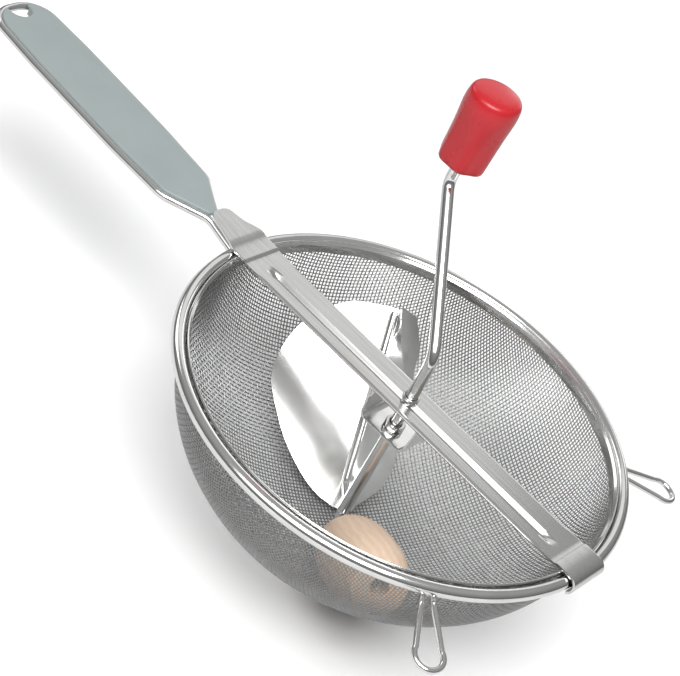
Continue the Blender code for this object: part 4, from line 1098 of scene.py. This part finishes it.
def build_knob():
    """The moulded red knob: a low dome over soft flats, bored from below."""
    bore_share = ROD_BORE / KNOB_RADIUS
    rings = [(KNOB_BORE_DEPTH / KNOB_LENGTH, bore_share, 0.0), (0.0, bore_share, 0.0)]
    rings += list(zip(KNOB_HEIGHT_SHARES, KNOB_RADIUS_SHARES, KNOB_FLAT_SHARES))[:-1]
    verts = []
    for height, radius, flat in rings:
        for i in range(TURNED_STEPS):
            angle = 2 * math.pi * i / TURNED_STEPS
            dip = flat * (0.5 - 0.5 * math.cos(KNOB_SIDES * angle))
            verts.append(polar(KNOB_RADIUS * radius * (1 - dip), angle, KNOB_LENGTH * height))
    verts.append((0.0, 0.0, KNOB_LENGTH))
    faces = []
    for ring_start in range(0, (len(rings) - 1) * TURNED_STEPS, TURNED_STEPS):
        for i in range(TURNED_STEPS):
            a, b = ring_start + i, ring_start + (i + 1) % TURNED_STEPS
            faces.append((a, b, b + TURNED_STEPS, a + TURNED_STEPS))
    faces.append(tuple(range(TURNED_STEPS)))
    last = (len(rings) - 1) * TURNED_STEPS
    for i in range(TURNED_STEPS):
        faces.append((last + i, last + (i + 1) % TURNED_STEPS, len(verts) - 1))
    obj = mesh_object("knob_body", verts, faces)
    obj.matrix_world = Matrix.Translation(polar(-CRANK_REACH, ARM_AZIMUTH, KNOB_BASE_HEIGHT))
    soft = obj.modifiers.new("soft", "SUBSURF")
    soft.levels = 1
    soft.render_levels = 1
    apply_modifiers(obj)
    dress(tidy(obj, smooth=40.0), "knob", knob_plastic, "knob")


def build_roller():
    """The turned beech roller, with its grain running along the axle."""
    outer, inner, edge = ROLLER_OUTER, ROLLER_INNER, ROLLER_EDGE_ROUND
    skin = []
    for i in range(ROLLER_STEPS + 1):
        place = outer - edge - (outer - inner - 2 * edge) * i / ROLLER_STEPS
        bulge = 1 - (abs(place) / ROLLER_SWELL_HALF_LENGTH) ** ROLLER_SWELL_POWER
        skin.append((ROLLER_END_RADIUS + (ROLLER_RADIUS - ROLLER_END_RADIUS) * bulge, place))
    corner = arc(
        skin[0][0] - edge, outer - edge, edge,
        math.pi / 2, math.pi / 2 - ROLLER_EDGE_TURN, ROLLER_EDGE_STEPS,
    )
    profile = [
        (ROLLER_RECESS_RADIUS, outer - ROLLER_RECESS_EASE),
        (ROLLER_RECESS_RADIUS + ROLLER_RECESS_EASE, outer),
        *corner,
        *skin,
        (skin[-1][0] - edge, inner),
        (ROD_BORE, inner),
        (ROD_BORE, ROLLER_RECESS_FLOOR),
        (ROLLER_RECESS_RADIUS, ROLLER_RECESS_FLOOR),
    ]
    obj = lathe("roller_barrel", profile, smooth=30.0)
    grain = obj.data.attributes.new("grain", "FLOAT_VECTOR", "POINT")
    for vertex, value in zip(obj.data.vertices, grain.data):
        value.vector = vertex.co + GRAIN_SHIFT
    obj.data.transform(roller_frame()[2])
    dress(obj, "roller", beech, "roller")


def blade_point(along, across, out):
    """A point in the blade's frame: along its fold, across it and out towards the wall."""
    rise = polar(math.cos(BLADE_SLOPE), BLADE_AZIMUTH, math.sin(BLADE_SLOPE))
    outward = polar(math.sin(BLADE_SLOPE), BLADE_AZIMUTH, -math.cos(BLADE_SLOPE))
    side = polar(1.0, BLADE_AZIMUTH - math.pi / 2, 0.0)
    fold = rise * math.cos(BLADE_TURN) - side * math.sin(BLADE_TURN)
    cross = rise * math.sin(BLADE_TURN) + side * math.cos(BLADE_TURN)
    return fold * along + cross * across - side * BLADE_OFFSET + outward * (BLADE_DISTANCE + out)


def wall_clearance(point):
    """How far a point inside the bowl is from the inner side of its wall."""
    reach = math.hypot(point[0], point[1])
    if math.atan2(reach, BOWL_LOW_CENTRE - point[2]) < BOWL_JOIN:
        return BOWL_LOW_RADIUS - WALL - math.hypot(reach, point[2] - BOWL_LOW_CENTRE)
    return WALL_RADIUS - WALL - math.hypot(reach - WALL_CENTRE[0], point[2] - WALL_CENTRE[1])


def reach_to_wall(place):
    """How far a line given by a function of its length runs until it meets the wall."""
    near, far = 0.0, 2 * RIM_RADIUS
    for _ in range(REACH_ROUNDS):
        middle = (near + far) / 2
        if wall_clearance(place(middle)) > BLADE_WALL_GAP:
            near = middle
        else:
            far = middle
    return near


def blade_row(along, place):
    """A row of points across the blade: the wing, the hem, the fold's facet and the leaf."""
    lean_across, lean_out = math.cos(BLADE_LEAF_ANGLE), math.sin(BLADE_LEAF_ANGLE)
    fold = BLADE_FOLD_REACH * table(BLADE_PLACE_SHARES, BLADE_FOLD_SHARES, place)
    fold_out = (fold - BLADE_LEAF_START) * math.tan(BLADE_LEAF_ANGLE)

    def leaf_point(length):
        """A point of the leaf at a distance from the fold."""
        return blade_point(along, fold + lean_across * length, fold_out + lean_out * length)

    wing = BLADE_WING_WIDTH * table(BLADE_PLACE_SHARES, BLADE_WING_SHARES, place)
    wing_room = reach_to_wall(lambda length: blade_point(along, -length, 0.0))
    wing = min(max(BLADE_WING_LEAST, wing), wing_room)
    leaf = BLADE_LEAF_REACH * table(BLADE_PLACE_SHARES, BLADE_LEAF_SHARES, place) - fold
    leaf = min(max(BLADE_HEM_WIDTH / 4, leaf) / lean_across, reach_to_wall(leaf_point))
    row = [blade_point(along, wing * (k / WING_STEPS - 1), 0.0) for k in range(WING_STEPS + 1)]
    row.append(blade_point(along, BLADE_HEM_WIDTH, 0.0))
    for k in range(1, FOLD_STEPS):
        across = BLADE_HEM_WIDTH + (fold - BLADE_HEM_WIDTH) * k / FOLD_STEPS
        row.append(blade_point(along, across, fold_out * k / FOLD_STEPS))
    row += [leaf_point(leaf * k / FOLD_STEPS) for k in range(FOLD_STEPS + 1)]
    return row


def build_blade():
    """The folded bright blade and the rod that carries it."""
    low = BLADE_END_TRIM - reach_to_wall(lambda length: blade_point(-length, 0.0, 0.0))
    high = reach_to_wall(lambda length: blade_point(length, 0.0, 0.0)) - BLADE_END_TRIM
    rows = []
    for i in range(BLADE_STEPS + 1):
        place = (1 - math.cos(math.pi * i / BLADE_STEPS)) / 2
        rows.append(blade_row(low + (high - low) * place, place))
    obj = sheet("blade_sheet", rows, BLADE_THICKNESS, 0.0, smooth=20.0)
    dress(obj, "crank", bright, "blade")
    over = -(BLADE_THICKNESS / 2 + SEAT_GAP + SPINE_RADIUS)
    corner = blade_point(-SPINE_CORNER, BLADE_HEM_WIDTH / 2, over)
    azimuth = math.atan2(corner[1], corner[0])
    corners = [
        blade_point(high - BLADE_END_TRIM, BLADE_HEM_WIDTH / 2, over),
        corner,
        polar(ROD_BORE + SPINE_RADIUS, azimuth, SPINE_FOOT_HEIGHT),
    ]
    path = fillet(corners, (SPINE_BEND_RADIUS,), steps=14)
    spine = tube("spine", [path], SPINE_RADIUS, roundness=5)
    dress(spine, "crank", polished, "blade_spine")


build_bowl()
build_rim()
build_handle()
build_loops()
build_bar()
build_stirrup()
build_crank()
build_shaft_fittings()
build_stops()
build_knob()
build_roller()
build_blade()


# Floor, light and camera

def build_floor():
    """A pale floor: white to the camera, and a little darker in the light that it throws back."""
    deselect()
    bpy.ops.mesh.primitive_plane_add(size=FLOOR_SIZE, location=(0.0, 0.0, FLOOR_HEIGHT))
    floor = bpy.context.object
    floor.name = "floor"
    mat = bpy.data.materials.new("pale_floor")
    mat.use_nodes = True
    nodes, links = mat.node_tree.nodes, mat.node_tree.links
    shader = nodes["Principled BSDF"]
    shader.inputs["Roughness"].default_value = 0.9
    shader.inputs["Specular IOR Level"].default_value = 0.0
    path = nodes.new("ShaderNodeLightPath")
    tone = mix_colour(nodes, links, path.outputs["Is Camera Ray"], FLOOR_BOUNCE, WHITE)
    links.new(tone, shader.inputs["Base Color"])
    floor.data.materials.append(mat)


def build_world():
    """Soft light all round, stronger from above, and white where the camera sees past the floor."""
    world = bpy.data.worlds.new("studio")
    bpy.context.scene.world = world
    world.use_nodes = True
    nodes, links = world.node_tree.nodes, world.node_tree.links
    background = nodes["Background"]
    place = nodes.new("ShaderNodeTexCoord")
    split = nodes.new("ShaderNodeSeparateXYZ")
    spread = nodes.new("ShaderNodeMapRange")
    spread.inputs["From Min"].default_value = 0.0
    spread.inputs["From Max"].default_value = WORLD_BRIGHT_FROM
    spread.inputs["To Min"].default_value = WORLD_STRENGTHS[0]
    spread.inputs["To Max"].default_value = WORLD_STRENGTHS[1]
    links.new(place.outputs["Generated"], split.inputs["Vector"])
    links.new(split.outputs["Z"], spread.inputs["Value"])
    path = nodes.new("ShaderNodeLightPath")
    seen = nodes.new("ShaderNodeMath")
    seen.operation = "MAXIMUM"
    links.new(spread.outputs["Result"], seen.inputs[0])
    links.new(path.outputs["Is Camera Ray"], seen.inputs[1])
    links.new(seen.outputs["Value"], background.inputs["Strength"])
    background.inputs["Color"].default_value = (*WHITE, 1.0)


def build_lamps():
    """Square soft lamps that all face the mill."""
    for name, place, size, power in LAMPS:
        lamp = bpy.data.lights.new(name, "AREA")
        lamp.size = size
        lamp.energy = power
        obj = bpy.data.objects.new(name, lamp)
        obj.location = place
        obj.rotation_euler = (-Vector(place)).to_track_quat("-Z", "Y").to_euler()
        bpy.context.scene.collection.objects.link(obj)


def build_camera():
    """The photograph's viewpoint."""
    data = bpy.data.cameras.new("camera")
    data.sensor_width = CAMERA_SENSOR
    data.lens = CAMERA_LENS
    data.clip_start = CAMERA_CLIP
    obj = bpy.data.objects.new("camera", data)
    turn = Matrix((CAMERA_RIGHT, -CAMERA_DOWN, -CAMERA_AHEAD)).transposed().to_4x4()
    obj.matrix_world = Matrix.Translation(CAMERA_PLACE) @ turn
    bpy.context.scene.collection.objects.link(obj)
    bpy.context.scene.camera = obj


build_floor()
build_world()
build_lamps()
build_camera()
bpy.context.scene.view_settings.view_transform = "Standard"
